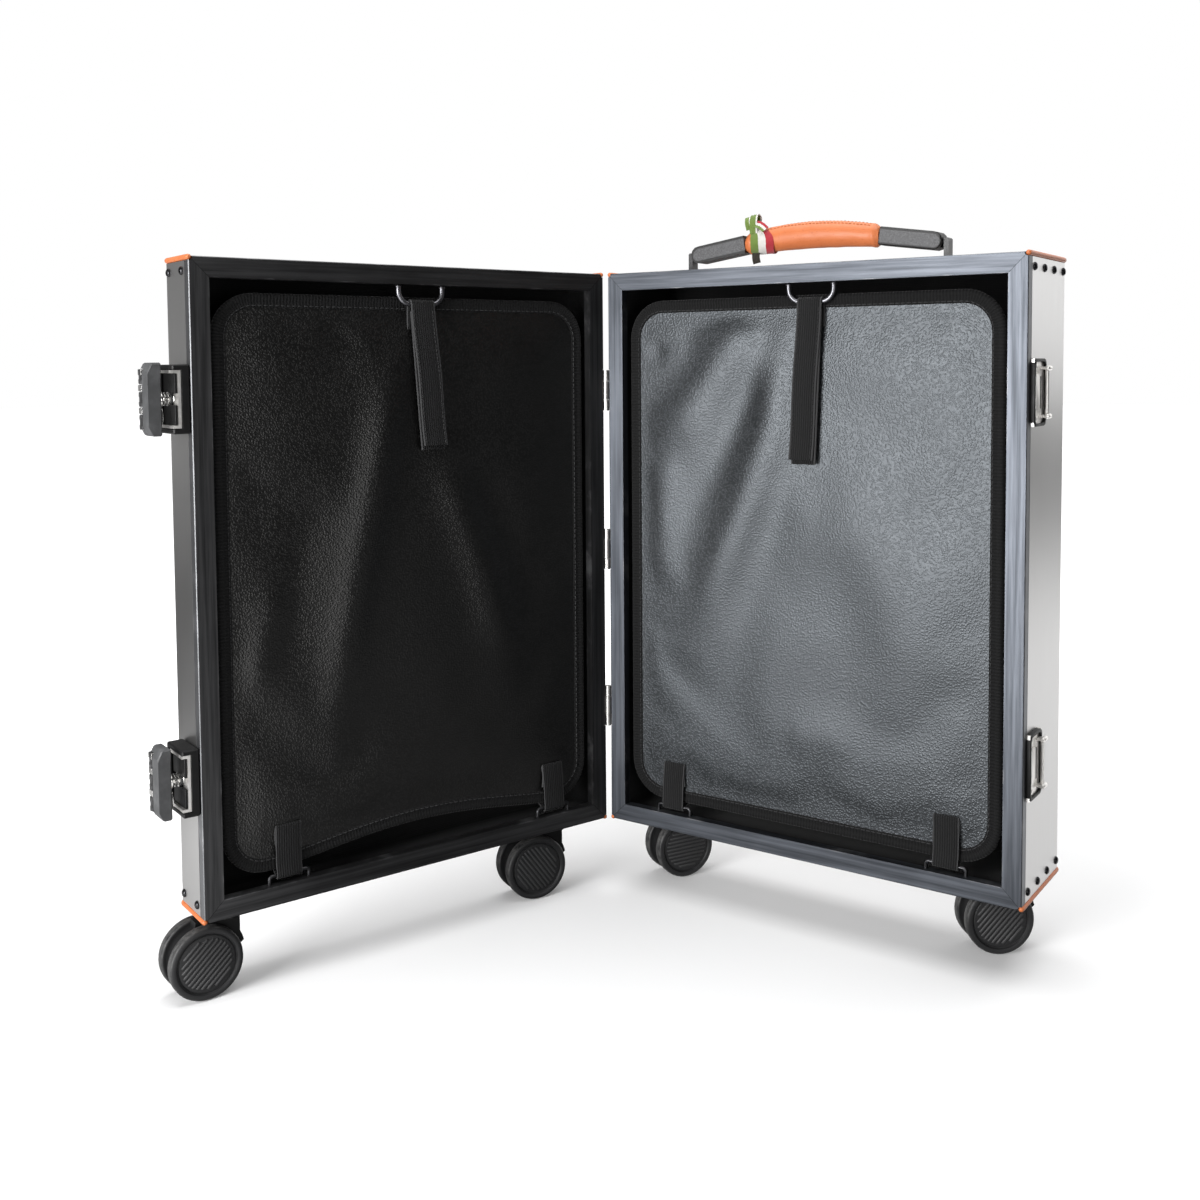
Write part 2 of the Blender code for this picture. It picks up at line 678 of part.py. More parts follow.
RING_LOW = SHELL_HEIGHT - FRAME_FACE - RING_DROP + RING_WIRE
STRAP_BEND = RING_WIRE + FIT_GAP + STRAP_THICKNESS / 2


def add_strap_ring(half):
    """A wire ring under the frame's top rail, its two legs seated on the rail."""
    top = SHELL_HEIGHT - FRAME_FACE - FIT_GAP
    corner = RING_DROP * 0.55
    reach = RING_WIDTH / 2 - RING_WIRE
    right = arc((reach - corner, RING_LOW + corner), corner, 0, -math.pi / 2, 4)
    left = [(-across, height) for across, height in reversed(right)]
    path = [(reach, top)] + right + left + [(-reach, top)]
    mesh = wire([(across, 0, height) for across, height in path], RING_WIRE)
    place = (SHELL_WIDTH / 2 + half.strap_shift, RING_DEPTH, 0)
    piece(half.name + "_strap_ring", mesh, BRIGHT_STEEL, half.parent, place, mirrored=half.mirrored)


def add_strap(half):
    """Webbing from the divider's top edge through the ring and down in front, doubled at its free end."""
    bend = arc((RING_DEPTH, RING_LOW), STRAP_BEND, 0, math.pi, 8)
    root = DIVIDER_HIGH - STRAP_ROOT
    seat = webbing_depth(half.strap_shift, STRAP_WIDTH, STRAP_THICKNESS, root)
    low = RING_LOW - half.strap_length
    front = RING_DEPTH - STRAP_BEND
    path = [(seat, root), (seat, root + STRAP_STITCHED)] + bend
    path += [(front - 0.0002, RING_LOW - 0.03), (front, low + STRAP_STITCHED), (front, low)]
    mesh = prism(band(path, STRAP_THICKNESS), -STRAP_WIDTH / 2, STRAP_WIDTH / 2, "YZ")
    for corner in mesh.vertices:
        drop = max(0.0, RING_LOW - corner.co.z)
        hangs = corner.co.y < RING_DEPTH
        corner.co.x += half.strap_lean * drop / half.strap_length if hangs else 0.0
        corner.co.y -= LOOP_AXIS[0]
        corner.co.z -= LOOP_AXIS[1]
    piece(half.name + "_divider_strap", mesh, BLACK_WEBBING, half.parent,
          (SHELL_WIDTH / 2 + half.strap_shift, *LOOP_AXIS), mirrored=half.mirrored)


def add_loop(half, side, across):
    """A webbing loop from the divider's front, round its staple and up behind the divider's lower edge."""
    around = STAPLE_WIRE + FIT_GAP + LOOP_THICKNESS / 2
    edge = DIVIDER_LOW - LOOP_AXIS[1]
    behind = DIVIDER_SETBACK + DIVIDER_THICKNESS + 2 * FIT_GAP + LOOP_THICKNESS / 2 - LOOP_AXIS[0]
    heights = [edge + (LOOP_HEIGHT - edge) * index / 4 for index in range(4, -1, -1)]
    sideways = across - SHELL_WIDTH / 2
    path = []
    for height in heights:
        depth = webbing_depth(sideways, LOOP_WIDTH, LOOP_THICKNESS, height + LOOP_AXIS[1])
        path.append((depth - LOOP_AXIS[0], height))
    reach = math.hypot(*path[-1])
    start = math.atan2(path[-1][1], path[-1][0]) + math.acos(around / reach)
    path += arc((0, 0), around, start, math.pi * 1.9, 9)
    path += [(behind, edge - 0.001), (behind, edge + LOOP_TAIL)]
    mesh = prism(band(path, LOOP_THICKNESS), -LOOP_WIDTH / 2, LOOP_WIDTH / 2, "YZ")
    piece(half.name + "_loop_" + side, mesh, BLACK_WEBBING, half.parent, (across, *LOOP_AXIS),
          mirrored=half.mirrored)


# Hinges, latches and keepers

def leaf_outline(tabs):
    """A leaf in depth and height, with tabs that reach the knuckles between the given heights."""
    start = KNUCKLE_RADIUS + KNUCKLE_GAP
    outline = [(HINGE_LEAF, -HINGE_HEIGHT / 2), (HINGE_LEAF, HINGE_HEIGHT / 2)]
    top_corner = start if tabs[-1][1] < HINGE_HEIGHT / 2 else 0
    outline.append((top_corner, HINGE_HEIGHT / 2))
    for low, high in reversed(tabs):
        if high < HINGE_HEIGHT / 2:
            outline += [(start, high), (0, high)]
        outline.append((0, low))
        if low > -HINGE_HEIGHT / 2:
            outline.append((start, low))
    if tabs[0][0] > -HINGE_HEIGHT / 2:
        outline.append((start, -HINGE_HEIGHT / 2))
    return outline


def add_hinge(level, height, base, lid):
    """A butt hinge of three knuckles; the pin belongs to the base leaf's middle knuckle."""
    middle = HINGE_HEIGHT * MIDDLE_KNUCKLE / 2
    middle_tab = [(-middle + KNUCKLE_GAP / 2, middle - KNUCKLE_GAP / 2)]
    end_tabs = [
        (-HINGE_HEIGHT / 2, -middle - KNUCKLE_GAP / 2),
        (middle + KNUCKLE_GAP / 2, HINGE_HEIGHT / 2),
    ]
    inner = HINGE_OFFSET - FIT_GAP
    outer = inner - LEAF_THICKNESS
    place = (-HINGE_OFFSET, -MOUTH_GAP, height)
    for half, tabs in ((base, middle_tab), (lid, end_tabs)):
        mesh = prism(leaf_outline(tabs), outer, inner, "YZ")
        name = "hinge_" + level + "_" + half.name + "_leaf"
        leaf = piece(name, mesh, BRIGHT_STEEL, half.parent, place, mirrored=half.mirrored)
        combine(leaf, [rod(KNUCKLE_RADIUS, low, high) for low, high in tabs], "UNION")
        if half is base:
            combine(leaf, [rod(PIN_RADIUS, -HINGE_HEIGHT / 2, HINGE_HEIGHT / 2)], "UNION")
        else:
            combine(leaf, [rod(PIN_RADIUS + FIT_GAP, -HINGE_HEIGHT, HINGE_HEIGHT)], "DIFFERENCE")


LATCH_MIDDLE = LATCH_SETBACK + LATCH_LENGTH / 2
CLAW_LOW = LATCH_BED + FIT_GAP
CLAW_SLOT = 2 * SHAFT_RADIUS + 2 * FIT_GAP


def add_latch_housing(lid, level, height):
    """A black tray on the lid's free side, open towards the mouth, with the shaft's bush in its bed."""
    low, high = -LATCH_LENGTH / 2, LATCH_LENGTH / 2
    tall = LATCH_HEIGHT / 2
    mesh = block((FIT_GAP, low, -tall), (LATCH_RIM, high, tall))
    housing = piece("latch_" + level + "_housing", mesh, BLACK_PLASTIC, lid.parent,
                    (SHELL_WIDTH, LATCH_MIDDLE, height), mirrored=True)
    chamfer(housing, LATCH_CHAMFER)
    pocket = block((LATCH_BED, low - LATCH_WALL, LATCH_WALL - tall),
                   (2 * LATCH_RIM, high - LATCH_WALL, tall - LATCH_WALL))
    bush = rod(SHAFT_RADIUS + FIT_GAP, LATCH_BED / 2, 2 * LATCH_RIM, "X", (0, 0), 2 * ROUND_STEPS)
    combine(housing, [pocket], "DIFFERENCE")
    combine(housing, [bush], "DIFFERENCE")


def add_latch_claw(lid, level, height):
    """A bright channel that the knob throws towards the mouth; its slot runs past the shaft."""
    half_height = CLAW_HEIGHT / 2
    low, high = CLAW_LOW, CLAW_LOW + CLAW_FLANGE
    inner = CLAW_LOW + CLAW_SHEET
    outline = [
        (low, -half_height), (high, -half_height), (high, CLAW_SHEET - half_height),
        (inner, CLAW_SHEET - half_height), (inner, half_height - CLAW_SHEET),
        (high, half_height - CLAW_SHEET), (high, half_height), (low, half_height),
    ]
    start = -LATCH_LENGTH / 2 + LATCH_SETBACK
    mesh = prism(outline, start, start + CLAW_LENGTH, "XZ")
    claw = piece("latch_" + level + "_claw", mesh, BRIGHT_STEEL, lid.parent,
                 (SHELL_WIDTH, LATCH_MIDDLE, height), mirrored=True)
    half_slot = CLAW_SLOT / 2
    slot = block((0, -half_slot, -half_slot), (2 * inner, half_slot + CLAW_THROW, half_slot))
    combine(claw, [slot], "DIFFERENCE")


def dial_places():
    return [-DIAL_PITCH, 0.0, DIAL_PITCH]


DIAL_OUT = KNOB_STANDOFF + KNOB_THICKNESS - DIAL_RADIUS + DIAL_PROUD
DIAL_BACK = KNOB_WIDTH / 2 - DIAL_RADIUS + DIAL_PROUD


def add_latch_knob(lid, level, height):
    """A tapered bar on a collared shaft, with pockets and a spindle for the dials at its outer back edge."""
    low, high = KNOB_STANDOFF, KNOB_STANDOFF + KNOB_THICKNESS
    tall = KNOB_HEIGHT / 2
    outline = [
        (low, -tall), (high - KNOB_TAPER / 2, -tall), (high, -tall + KNOB_TAPER),
        (high, tall - KNOB_TAPER), (high - KNOB_TAPER / 2, tall), (low, tall),
    ]
    mesh = prism(outline, -KNOB_WIDTH / 2, KNOB_WIDTH / 2, "XZ")
    knob = piece("latch_" + level + "_knob", mesh, BLACK_PLASTIC, lid.parent,
                 (SHELL_WIDTH, LATCH_MIDDLE, height), mirrored=True)
    chamfer(knob, KNOB_CHAMFER)
    shaft = rod(SHAFT_RADIUS, LATCH_BED / 2 + FIT_GAP, low + KNOB_TAPER / 2, "X", (0, 0))
    combine(knob, [shaft], "UNION")
    collar_low = CLAW_LOW + CLAW_SHEET + FIT_GAP
    collar_high = collar_low + SHAFT_RADIUS / 2
    combine(knob, [rod(1.6 * SHAFT_RADIUS, collar_low, collar_high, "X", (0, 0))], "UNION")
    room = DIAL_RADIUS + FIT_GAP
    tall_room = DIAL_WIDTH / 2 + FIT_GAP
    near, side = DIAL_OUT - room, DIAL_BACK - room
    pockets = [
        block((near, side, middle - tall_room), (2 * high, KNOB_WIDTH, middle + tall_room))
        for middle in dial_places()
    ]
    combine(knob, pockets, "DIFFERENCE")
    reach = DIAL_PITCH + 0.7 * DIAL_WIDTH
    combine(knob, [rod(SPINDLE_RADIUS, -reach, reach, "Z", (DIAL_OUT, DIAL_BACK), 8)], "UNION")
    for number, middle in enumerate(dial_places(), 1):
        dial = rod(DIAL_RADIUS, -DIAL_WIDTH / 2, DIAL_WIDTH / 2, "Z", (0, 0), DIAL_SIDES)
        place = (SHELL_WIDTH + DIAL_OUT, LATCH_MIDDLE + DIAL_BACK, height + middle)
        name = "latch_" + level + "_dial_" + str(number)
        wheel = piece(name, dial, DIAL_GREY, lid.parent, place, mirrored=True)
        combine(wheel, [rod(SPINDLE_RADIUS + FIT_GAP, -DIAL_WIDTH, DIAL_WIDTH)], "DIFFERENCE")


def add_keeper(base, level, height):
    """A plate with a low rim on the base's free side, and a rod between two tabs for the claw."""
    low, high = -KEEPER_LENGTH / 2, KEEPER_LENGTH / 2
    tall = LATCH_HEIGHT / 2
    mesh = block((FIT_GAP, low, -tall), (KEEPER_PLATE, high, tall))
    place = (SHELL_WIDTH, KEEPER_SETBACK + KEEPER_LENGTH / 2, height)
    keeper = piece("keeper_" + level, mesh, BRIGHT_STEEL, base.parent, place)
    recess = block((KEEPER_PLATE - KEEPER_RECESS, low + KEEPER_RIM, KEEPER_RIM - tall),
                   (2 * KEEPER_PLATE, high - KEEPER_RIM, tall - KEEPER_RIM))
    combine(keeper, [recess], "DIFFERENCE")
    root = (KEEPER_PLATE - KEEPER_RECESS) / 2
    back = high - 2 * KEEPER_RIM
    middle = KEEPER_TAB_SPACING / 2
    half_wall = KEEPER_WALL / 2
    tabs = [
        block((root, back - KEEPER_TAB, height - half_wall), (KEEPER_TAB_REACH, back, height + half_wall))
        for height in (-middle, middle)
    ]
    combine(keeper, tabs, "UNION")
    rod_place = (KEEPER_TAB_REACH - 1.5 * KEEPER_ROD_RADIUS, back - 1.5 * KEEPER_ROD_RADIUS)
    combine(keeper, [rod(KEEPER_ROD_RADIUS, -middle, middle, "Z", rod_place, 8)], "UNION")


# Carry handle

def grip_rise(across):
    """Height of the handle's middle line above the shell's top edge."""
    share = abs(across) / (GRIP_LENGTH / 2)
    if share <= 1:
        return GRIP_RISE - (GRIP_RISE - GRIP_END_RISE) * share * share
    along = (abs(across) - GRIP_LENGTH / 2) / (ARM_REACH - GRIP_LENGTH / 2)
    return GRIP_END_RISE + (ARM_END_RISE - GRIP_END_RISE) * along


def grip_radius(across):
    share = min(1.0, abs(across) / (GRIP_LENGTH / 2))
    return GRIP_MIDDLE_RADIUS - (GRIP_MIDDLE_RADIUS - GRIP_END_RADIUS) * share * share


def core_outline(height, reach):
    """The handle's core in width and height, following its middle line."""
    steps = [reach * index / GRIP_POINTS for index in range(-GRIP_POINTS, GRIP_POINTS + 1)]
    top = [(across, grip_rise(across) + height / 2) for across in steps]
    bottom = [(across, grip_rise(across) - height / 2) for across in steps]
    return top + bottom[::-1]


def arm_outline(sign):
    """One arm in width and height, from the grip's end down to its rounded outer end."""
    grip_end = GRIP_LENGTH / 2
    last_step = GRIP_LENGTH / (GRIP_POINTS - 1)
    start = grip_end + 2 * FIT_GAP
    half = ARM_HEIGHT / 2
    lean = half * (grip_rise(grip_end - last_step) - grip_rise(grip_end)) / last_step
    round_start = ARM_REACH - half
    tip = arc((round_start, grip_rise(round_start)), half, math.pi / 2, -math.pi / 2, 6)
    outline = [(start + lean, grip_rise(start) + half)] + tip
    outline.append((start - lean, grip_rise(start) - half))
    return [(sign * across, rise) for across, rise in outline]


def tube_along(low, high, extra, count):
    """A round tube along the handle's middle line, wider than the grip by extra."""
    steps = [low + (high - low) * index / (count - 1) for index in range(count)]
    radii = [(grip_radius(across) + extra) / GRIP_MIDDLE_RADIUS for across in steps]
    path = [(across, 0, grip_rise(across)) for across in steps]
    return wire(path, GRIP_MIDDLE_RADIUS, GRIP_SIDES, radii)


def add_handle(base):
    place = (SHELL_WIDTH / 2, HANDLE_DEPTH, SHELL_HEIGHT)
    arm = prism(arm_outline(1), -ARM_WIDTH / 2, ARM_WIDTH / 2, "XZ")
    core = piece("handle_core", arm, BLACK_PLASTIC, base.parent, place)
    chamfer(core, ARM_CHAMFER)
    core_reach = GRIP_LENGTH / 2 + CORE_OVERLAP
    bar = prism(core_outline(CORE_HEIGHT, core_reach), -CORE_WIDTH / 2, CORE_WIDTH / 2, "XZ")
    combine(core, [bar], "UNION")
    combine(core, [prism(arm_outline(-1), -ARM_WIDTH / 2, ARM_WIDTH / 2, "XZ")], "UNION")
    hook_low = LUG_HOOK_RISE - HANDLE_LIFT - FIT_GAP
    hook_high = LUG_HOOK_RISE + LUG_HOOK + FIT_GAP
    slot_start = ARM_REACH - LUG_HOOK_LENGTH - FIT_GAP
    slot_width = LUG_WIDTH / 2 + FIT_GAP
    slots = [
        block((slot_start, -slot_width, hook_low), (ARM_REACH + LUG_HOOK, slot_width, hook_high)),
        block((-ARM_REACH - LUG_HOOK, -slot_width, hook_low), (-slot_start, slot_width, hook_high)),
    ]
    combine(core, slots, "DIFFERENCE")
    tube = tube_along(-GRIP_LENGTH / 2, GRIP_LENGTH / 2, 0.0, GRIP_POINTS)
    grip = piece("handle_grip", tube, ORANGE_LEATHER, base.parent, place)
    bore_half = CORE_WIDTH / 2 + FIT_GAP
    bore = prism(core_outline(CORE_HEIGHT + 2 * FIT_GAP, core_reach), -bore_half, bore_half, "XZ")
    combine(grip, [bore], "DIFFERENCE")
    add_ribbon(base, place)
    for side, sign in (("hinge_side", -1), ("free_side", 1)):
        add_lug(base, side, sign, place)


def add_lug(base, side, sign, place):
    """A bright bracket on the top cap whose hook goes into the arm's end."""
    foot = FIT_GAP - CAP_DROP
    post_in = ARM_REACH + FIT_GAP
    post_out = post_in + LUG_THICKNESS
    top = LUG_HOOK_RISE + LUG_HOOK
    outline = [
        (post_out, foot), (post_out, top - LUG_HOOK / 3), (post_out - LUG_HOOK / 3, top),
        (ARM_REACH - LUG_HOOK_LENGTH, top), (ARM_REACH - LUG_HOOK_LENGTH, LUG_HOOK_RISE),
        (post_in, LUG_HOOK_RISE), (post_in, foot + LUG_FOOT_THICKNESS),
        (post_out - LUG_FOOT, foot + LUG_FOOT_THICKNESS), (post_out - LUG_FOOT, foot),
    ]
    outline = [(sign * across, rise) for across, rise in outline]
    lug = prism(outline, -LUG_WIDTH / 2, LUG_WIDTH / 2, "XZ")
    piece("handle_lug_" + side, lug, BRIGHT_STEEL, base.parent, place)


def add_ribbon(base, place):
    """A cloth band round the grip, knotted on top with two short tails."""
    end = RIBBON_START + RIBBON_WIDTH
    sleeve = tube_along(RIBBON_START, end, FIT_GAP + RIBBON_THICKNESS, 4)
    ribbon = piece("handle_ribbon", sleeve, RIBBON_CLOTH, base.parent, place)
    knot_across = RIBBON_START + RIBBON_KNOT
    knot_rise = grip_rise(knot_across) + grip_radius(knot_across) + 0.75 * RIBBON_KNOT
    shape = bmesh.new()
    bmesh.ops.create_uvsphere(shape, u_segments=10, v_segments=6, radius=RIBBON_KNOT)
    place_knot = Matrix.Translation((knot_across, 0, knot_rise))
    spread = place_knot @ Matrix.Diagonal((RIBBON_KNOT_SPREAD, 1, 1, 1))
    bmesh.ops.transform(shape, matrix=spread, verts=shape.verts)
    tail_rise = grip_rise(knot_across) - grip_radius(knot_across)
    tail = block((knot_across - RIBBON_KNOT, -RIBBON_KNOT, tail_rise - RIBBON_TAIL + RIBBON_KNOT),
                 (knot_across + RIBBON_KNOT, RIBBON_KNOT, tail_rise + RIBBON_THICKNESS))
    combine(ribbon, [mesh_of(shape), tail], "UNION")
    bore = tube_along(RIBBON_START - RIBBON_WIDTH, end + RIBBON_WIDTH, FIT_GAP, 10)
    combine(ribbon, [bore], "DIFFERENCE")


# Casters

AXLE_HEIGHT = WHEEL_RADIUS * math.cos(math.pi / WHEEL_STEPS) - FLOOR_CLEARANCE
WHEEL_TOP = AXLE_HEIGHT + WHEEL_RADIUS + WEB_CLEARANCE
WHEEL_START = WEB_THICKNESS / 2 + WEB_CLEARANCE
CASTER_HEADINGS = {
    ("base", "hinge_side"): BASE_HINGE_SIDE_HEADING,
    ("base", "free_side"): BASE_FREE_SIDE_HEADING,
    ("lid", "hinge_side"): LID_HINGE_SIDE_HEADING + OPEN_ANGLE,
    ("lid", "free_side"): LID_FREE_SIDE_HEADING + OPEN_ANGLE,
}


def web_outline():
    """The plate between the wheels: a disc round the axle, a fender over it, a neck and a pointed horn."""
    axle = (-CASTER_TRAIL, AXLE_HEIGHT)
    neck = NECK_HALF_WIDTH
    top = WHEEL_TOP + WEB_CLEARANCE
    horn = arc(axle, HORN_RADIUS, HORN_START, math.acos((CASTER_TRAIL + neck) / HORN_RADIUS), 3)
    fender = arc(axle, FENDER_RADIUS, math.acos((CASTER_TRAIL - neck) / FENDER_RADIUS), FENDER_END, 4)
    disc = arc(axle, WEB_RADIUS, FENDER_END + 0.2, HORN_START - 0.3 + 2 * math.pi, 14)
    return horn + [(neck, top), (-neck, top)] + fender + disc


def wheel_mesh():
    """A dished wheel with a blind bore for the axle, its inner face at zero and its axis along Y."""
    dish = WHEEL_WIDTH - WHEEL_DISH
    rim = WHEEL_RADIUS - WHEEL_RIM
    shoulder = WHEEL_RADIUS - WHEEL_SHOULDER
    bore = AXLE_RADIUS + FIT_GAP
    bore_end = AXLE_REACH + FIT_GAP
    profile = [
        (0, dish), (rim - WHEEL_DISH, dish), (rim, WHEEL_WIDTH), (shoulder, WHEEL_WIDTH),
        (WHEEL_RADIUS, WHEEL_WIDTH - WHEEL_SHOULDER), (WHEEL_RADIUS, WHEEL_SHOULDER),
        (shoulder, 0), (bore, 0), (bore, bore_end), (0, bore_end),
    ]
    mesh = turned(profile, WHEEL_STEPS)
    mesh.transform(Matrix.Rotation(math.pi / WHEEL_STEPS, 4, "Z"))
    mesh.transform(Matrix.Rotation(-math.pi / 2, 4, "X"))
    return mesh


def add_caster(half, side, place):
    """A fork whose stem is riveted through the bottom cap, with a wheel on each side of its web."""
    name = "caster_" + half.name + "_" + side
    depth = -place[1] if half.mirrored else place[1]
    heading = CASTER_HEADINGS[half.name, side]
    swivel = empty(name + "_swivel", half.parent, (place[0], depth, 0), heading)
    mesh = prism(web_outline(), -WEB_THICKNESS / 2, WEB_THICKNESS / 2, "XZ")
    fork = piece(name + "_fork", mesh, BLACK_PLASTIC, swivel)
    seat = CAP_DROP - FIT_GAP
    combine(fork, [rod(SWIVEL_RADIUS, WHEEL_TOP, seat)], "UNION")
    inside = CAP_DROP + SHEET + FIT_GAP
    combine(fork, [rod(STEM_RADIUS, WHEEL_TOP, inside + STEM_HEAD / 2)], "UNION")
    combine(fork, [rod(STEM_HEAD_RADIUS, inside, inside + STEM_HEAD)], "UNION")
    reach = WHEEL_START + AXLE_REACH
    combine(fork, [rod(AXLE_RADIUS, -reach, reach, "Y", (-CASTER_TRAIL, AXLE_HEIGHT))], "UNION")
    right_place = (-CASTER_TRAIL, WHEEL_START, AXLE_HEIGHT)
    left_place = (-CASTER_TRAIL, -WHEEL_START, AXLE_HEIGHT)
    piece(name + "_wheel_right", wheel_mesh(), WHEEL_RUBBER, swivel, right_place)
    piece(name + "_wheel_left", flipped(wheel_mesh()), WHEEL_RUBBER, swivel, left_place)


def add_half(half):
    add_wrap(half)
    add_mouth_frame(half)
    for end in ("top", "bottom"):
        add_cap(half, end)
        add_piping(half, end)
    add_divider(half)
    add_strap_ring(half)
    add_strap(half)
    for side, across in loop_places(half).items():
        add_loop(half, side, across)
    for side, place in caster_places(half).items():
        add_caster(half, side, place)


def lowest_and_highest():
    """The corners of the box round every solid, in world space."""
    scene_state = bpy.context.evaluated_depsgraph_get()
    corners = []
    for solid in parts.objects:
        if solid.type == "MESH":
            evaluated = solid.evaluated_get(scene_state)
            corners += [evaluated.matrix_world @ vertex.co for vertex in evaluated.data.vertices]
    low = [min(corner[axis] for corner in corners) for axis in range(3)]
    high = [max(corner[axis] for corner in corners) for axis in range(3)]
    return low, high


def build():
    origin = empty("suitcase_origin", None)
    hinge_axis = empty("lid_hinge_axis", origin, (0, 0, 0), -OPEN_ANGLE)
    base_corner = (HINGE_OFFSET, MOUTH_GAP, FLOOR_CLEARANCE)
    lid_corner = (HINGE_OFFSET, -MOUTH_GAP, FLOOR_CLEARANCE)
    base = Half("base", BASE_DEPTH, False, empty("base_half", origin, base_corner), BASE_CASTER_DEPTH,
                BASE_STRAP_SHIFT, BASE_STRAP_LEAN, BASE_STRAP_LENGTH, BASE_LOOP_SHIFT)
    lid = Half("lid", LID_DEPTH, True, empty("lid_half", hinge_axis, lid_corner), LID_CASTER_DEPTH,
               LID_STRAP_SHIFT, LID_STRAP_LEAN, LID_STRAP_LENGTH, LID_LOOP_SHIFT)
    add_half(base)
    add_half(lid)
    for level, height in HINGE_LEVELS.items():
        add_hinge(level, height, base, lid)
    for level, height in LATCH_LEVELS.items():
        add_latch_housing(lid, level, height)
        add_latch_claw(lid, level, height)
        add_latch_knob(lid, level, height)
        add_keeper(base, level, height)
    add_handle(base)
    for solid in parts.objects:
        if solid.type == "MESH":
            solid.data.shade_smooth()
            solid.data.set_sharp_from_angle(angle=math.radians(35))
    bpy.context.view_layer.update()
    low, high = lowest_and_highest()
    origin.location = (-(low[0] + high[0]) / 2, -(low[1] + high[1]) / 2, -low[2])
    bpy.context.view_layer.update()


build()
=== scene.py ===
"""The looks of an aluminium cabin suitcase that stands open like a book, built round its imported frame."""

import json
import math
from collections import namedtuple

import bmesh
import bpy
from mathutils import Matrix, Vector, noise


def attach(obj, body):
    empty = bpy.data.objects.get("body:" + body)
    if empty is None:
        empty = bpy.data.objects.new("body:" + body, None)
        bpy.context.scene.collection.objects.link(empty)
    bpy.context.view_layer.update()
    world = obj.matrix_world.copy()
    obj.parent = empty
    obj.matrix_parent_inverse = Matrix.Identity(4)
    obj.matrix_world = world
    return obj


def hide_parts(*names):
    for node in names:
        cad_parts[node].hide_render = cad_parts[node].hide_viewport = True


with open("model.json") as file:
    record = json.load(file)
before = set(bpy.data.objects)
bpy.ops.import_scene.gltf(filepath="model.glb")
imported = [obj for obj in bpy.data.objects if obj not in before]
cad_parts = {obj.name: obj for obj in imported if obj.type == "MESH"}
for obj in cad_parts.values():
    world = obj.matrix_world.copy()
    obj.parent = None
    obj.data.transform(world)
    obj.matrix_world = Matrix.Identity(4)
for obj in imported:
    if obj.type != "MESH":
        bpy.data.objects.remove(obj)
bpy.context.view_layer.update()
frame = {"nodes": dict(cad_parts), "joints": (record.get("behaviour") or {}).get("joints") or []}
NODES = frame["nodes"]
JOINTS = {joint["name"]: joint for joint in frame["joints"]}

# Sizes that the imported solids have, in metres, in each half's own frame of across, depth and height
SHELL_WIDTH = 0.370
SHELL_HEIGHT = 0.490
BASE_DEPTH = 0.0987
LID_DEPTH = 0.0513
FLOOR_CLEARANCE = 0.064
HINGE_OFFSET = 0.0024
MOUTH_GAP = 0.0002
FRAME_FACE = 0.015
BEND_RADIUS = 0.0048
MIDDLE = SHELL_WIDTH / 2
GRIP_LENGTH = 0.119
GRIP_END_RISE = 0.0207
ARM_REACH = 0.112
ARM_HEIGHT = 0.0145
ARM_END_RISE = 0.0130
OPEN_ANGLE = math.radians(-JOINTS["lid_hinge"]["range_deg"][0])
HINGE = Vector(JOINTS["lid_hinge"]["pos_m"])
HINGE.z = 0
FLIP_DEPTH = Matrix.Diagonal((1, -1, 1, 1))
BASE_PLACE = Matrix.Translation(HINGE + Vector((HINGE_OFFSET, MOUTH_GAP, FLOOR_CLEARANCE)))
LID_TURN = Matrix.Translation(HINGE) @ Matrix.Rotation(-OPEN_ANGLE, 4, "Z")
LID_PLACE = LID_TURN @ Matrix.Translation((HINGE_OFFSET, -MOUTH_GAP, FLOOR_CLEARANCE)) @ FLIP_DEPTH

# Each half has its own pebble tones and sheen tint, and these are painted light: paler and bluer on the base as painted
# sheen, near black on the lid as painted shade.
Half = namedtuple("Half", [
    "name", "depth", "place", "panel", "strap_shift", "strap_lean", "strap_length", "loop_shift", "arch",
    "shine", "dryness", "dust", "cast", "rail_tones", "folds",
])
Fold = namedtuple("Fold", "path width rise")

# Soft ridges and hollows in the leather, as across and height along each fold
BASE_FOLDS = [
    Fold([(0.150, 0.452), (0.131, 0.435), (0.1116, 0.413), (0.087, 0.382), (0.066, 0.350), (0.054, 0.319)],
         0.022, 0.0043),
    Fold([(0.148, 0.424), (0.134, 0.379), (0.110, 0.3365), (0.087, 0.2926), (0.071, 0.248)], 0.017, -0.0022),
    Fold([(0.170, 0.440), (0.1657, 0.420), (0.158, 0.357), (0.1353, 0.295), (0.109, 0.238), (0.086, 0.188),
          (0.076, 0.164)], 0.019, 0.0042),
    Fold([(0.170, 0.310), (0.150, 0.245), (0.118, 0.165)], 0.020, -0.0011),
    Fold([(0.2105, 0.3215), (0.2505, 0.2378), (0.2984, 0.136)], 0.034, 0.0020),
    Fold([(0.205, 0.270), (0.235, 0.190), (0.260, 0.130)], 0.030, -0.0010),
    Fold([(0.170, 0.098), (0.200, 0.105), (0.235, 0.106)], 0.018, 0.0010),
    Fold([(0.037, 0.417), (0.055, 0.425)], 0.008, -0.0010),
    Fold([(0.325, 0.414), (0.345, 0.421)], 0.007, -0.0012),
    Fold([(0.338, 0.265), (0.341, 0.205)], 0.010, 0.0010),
    Fold([(0.055, 0.340), (0.053, 0.270), (0.051, 0.200)], 0.015, 0.0016),
]
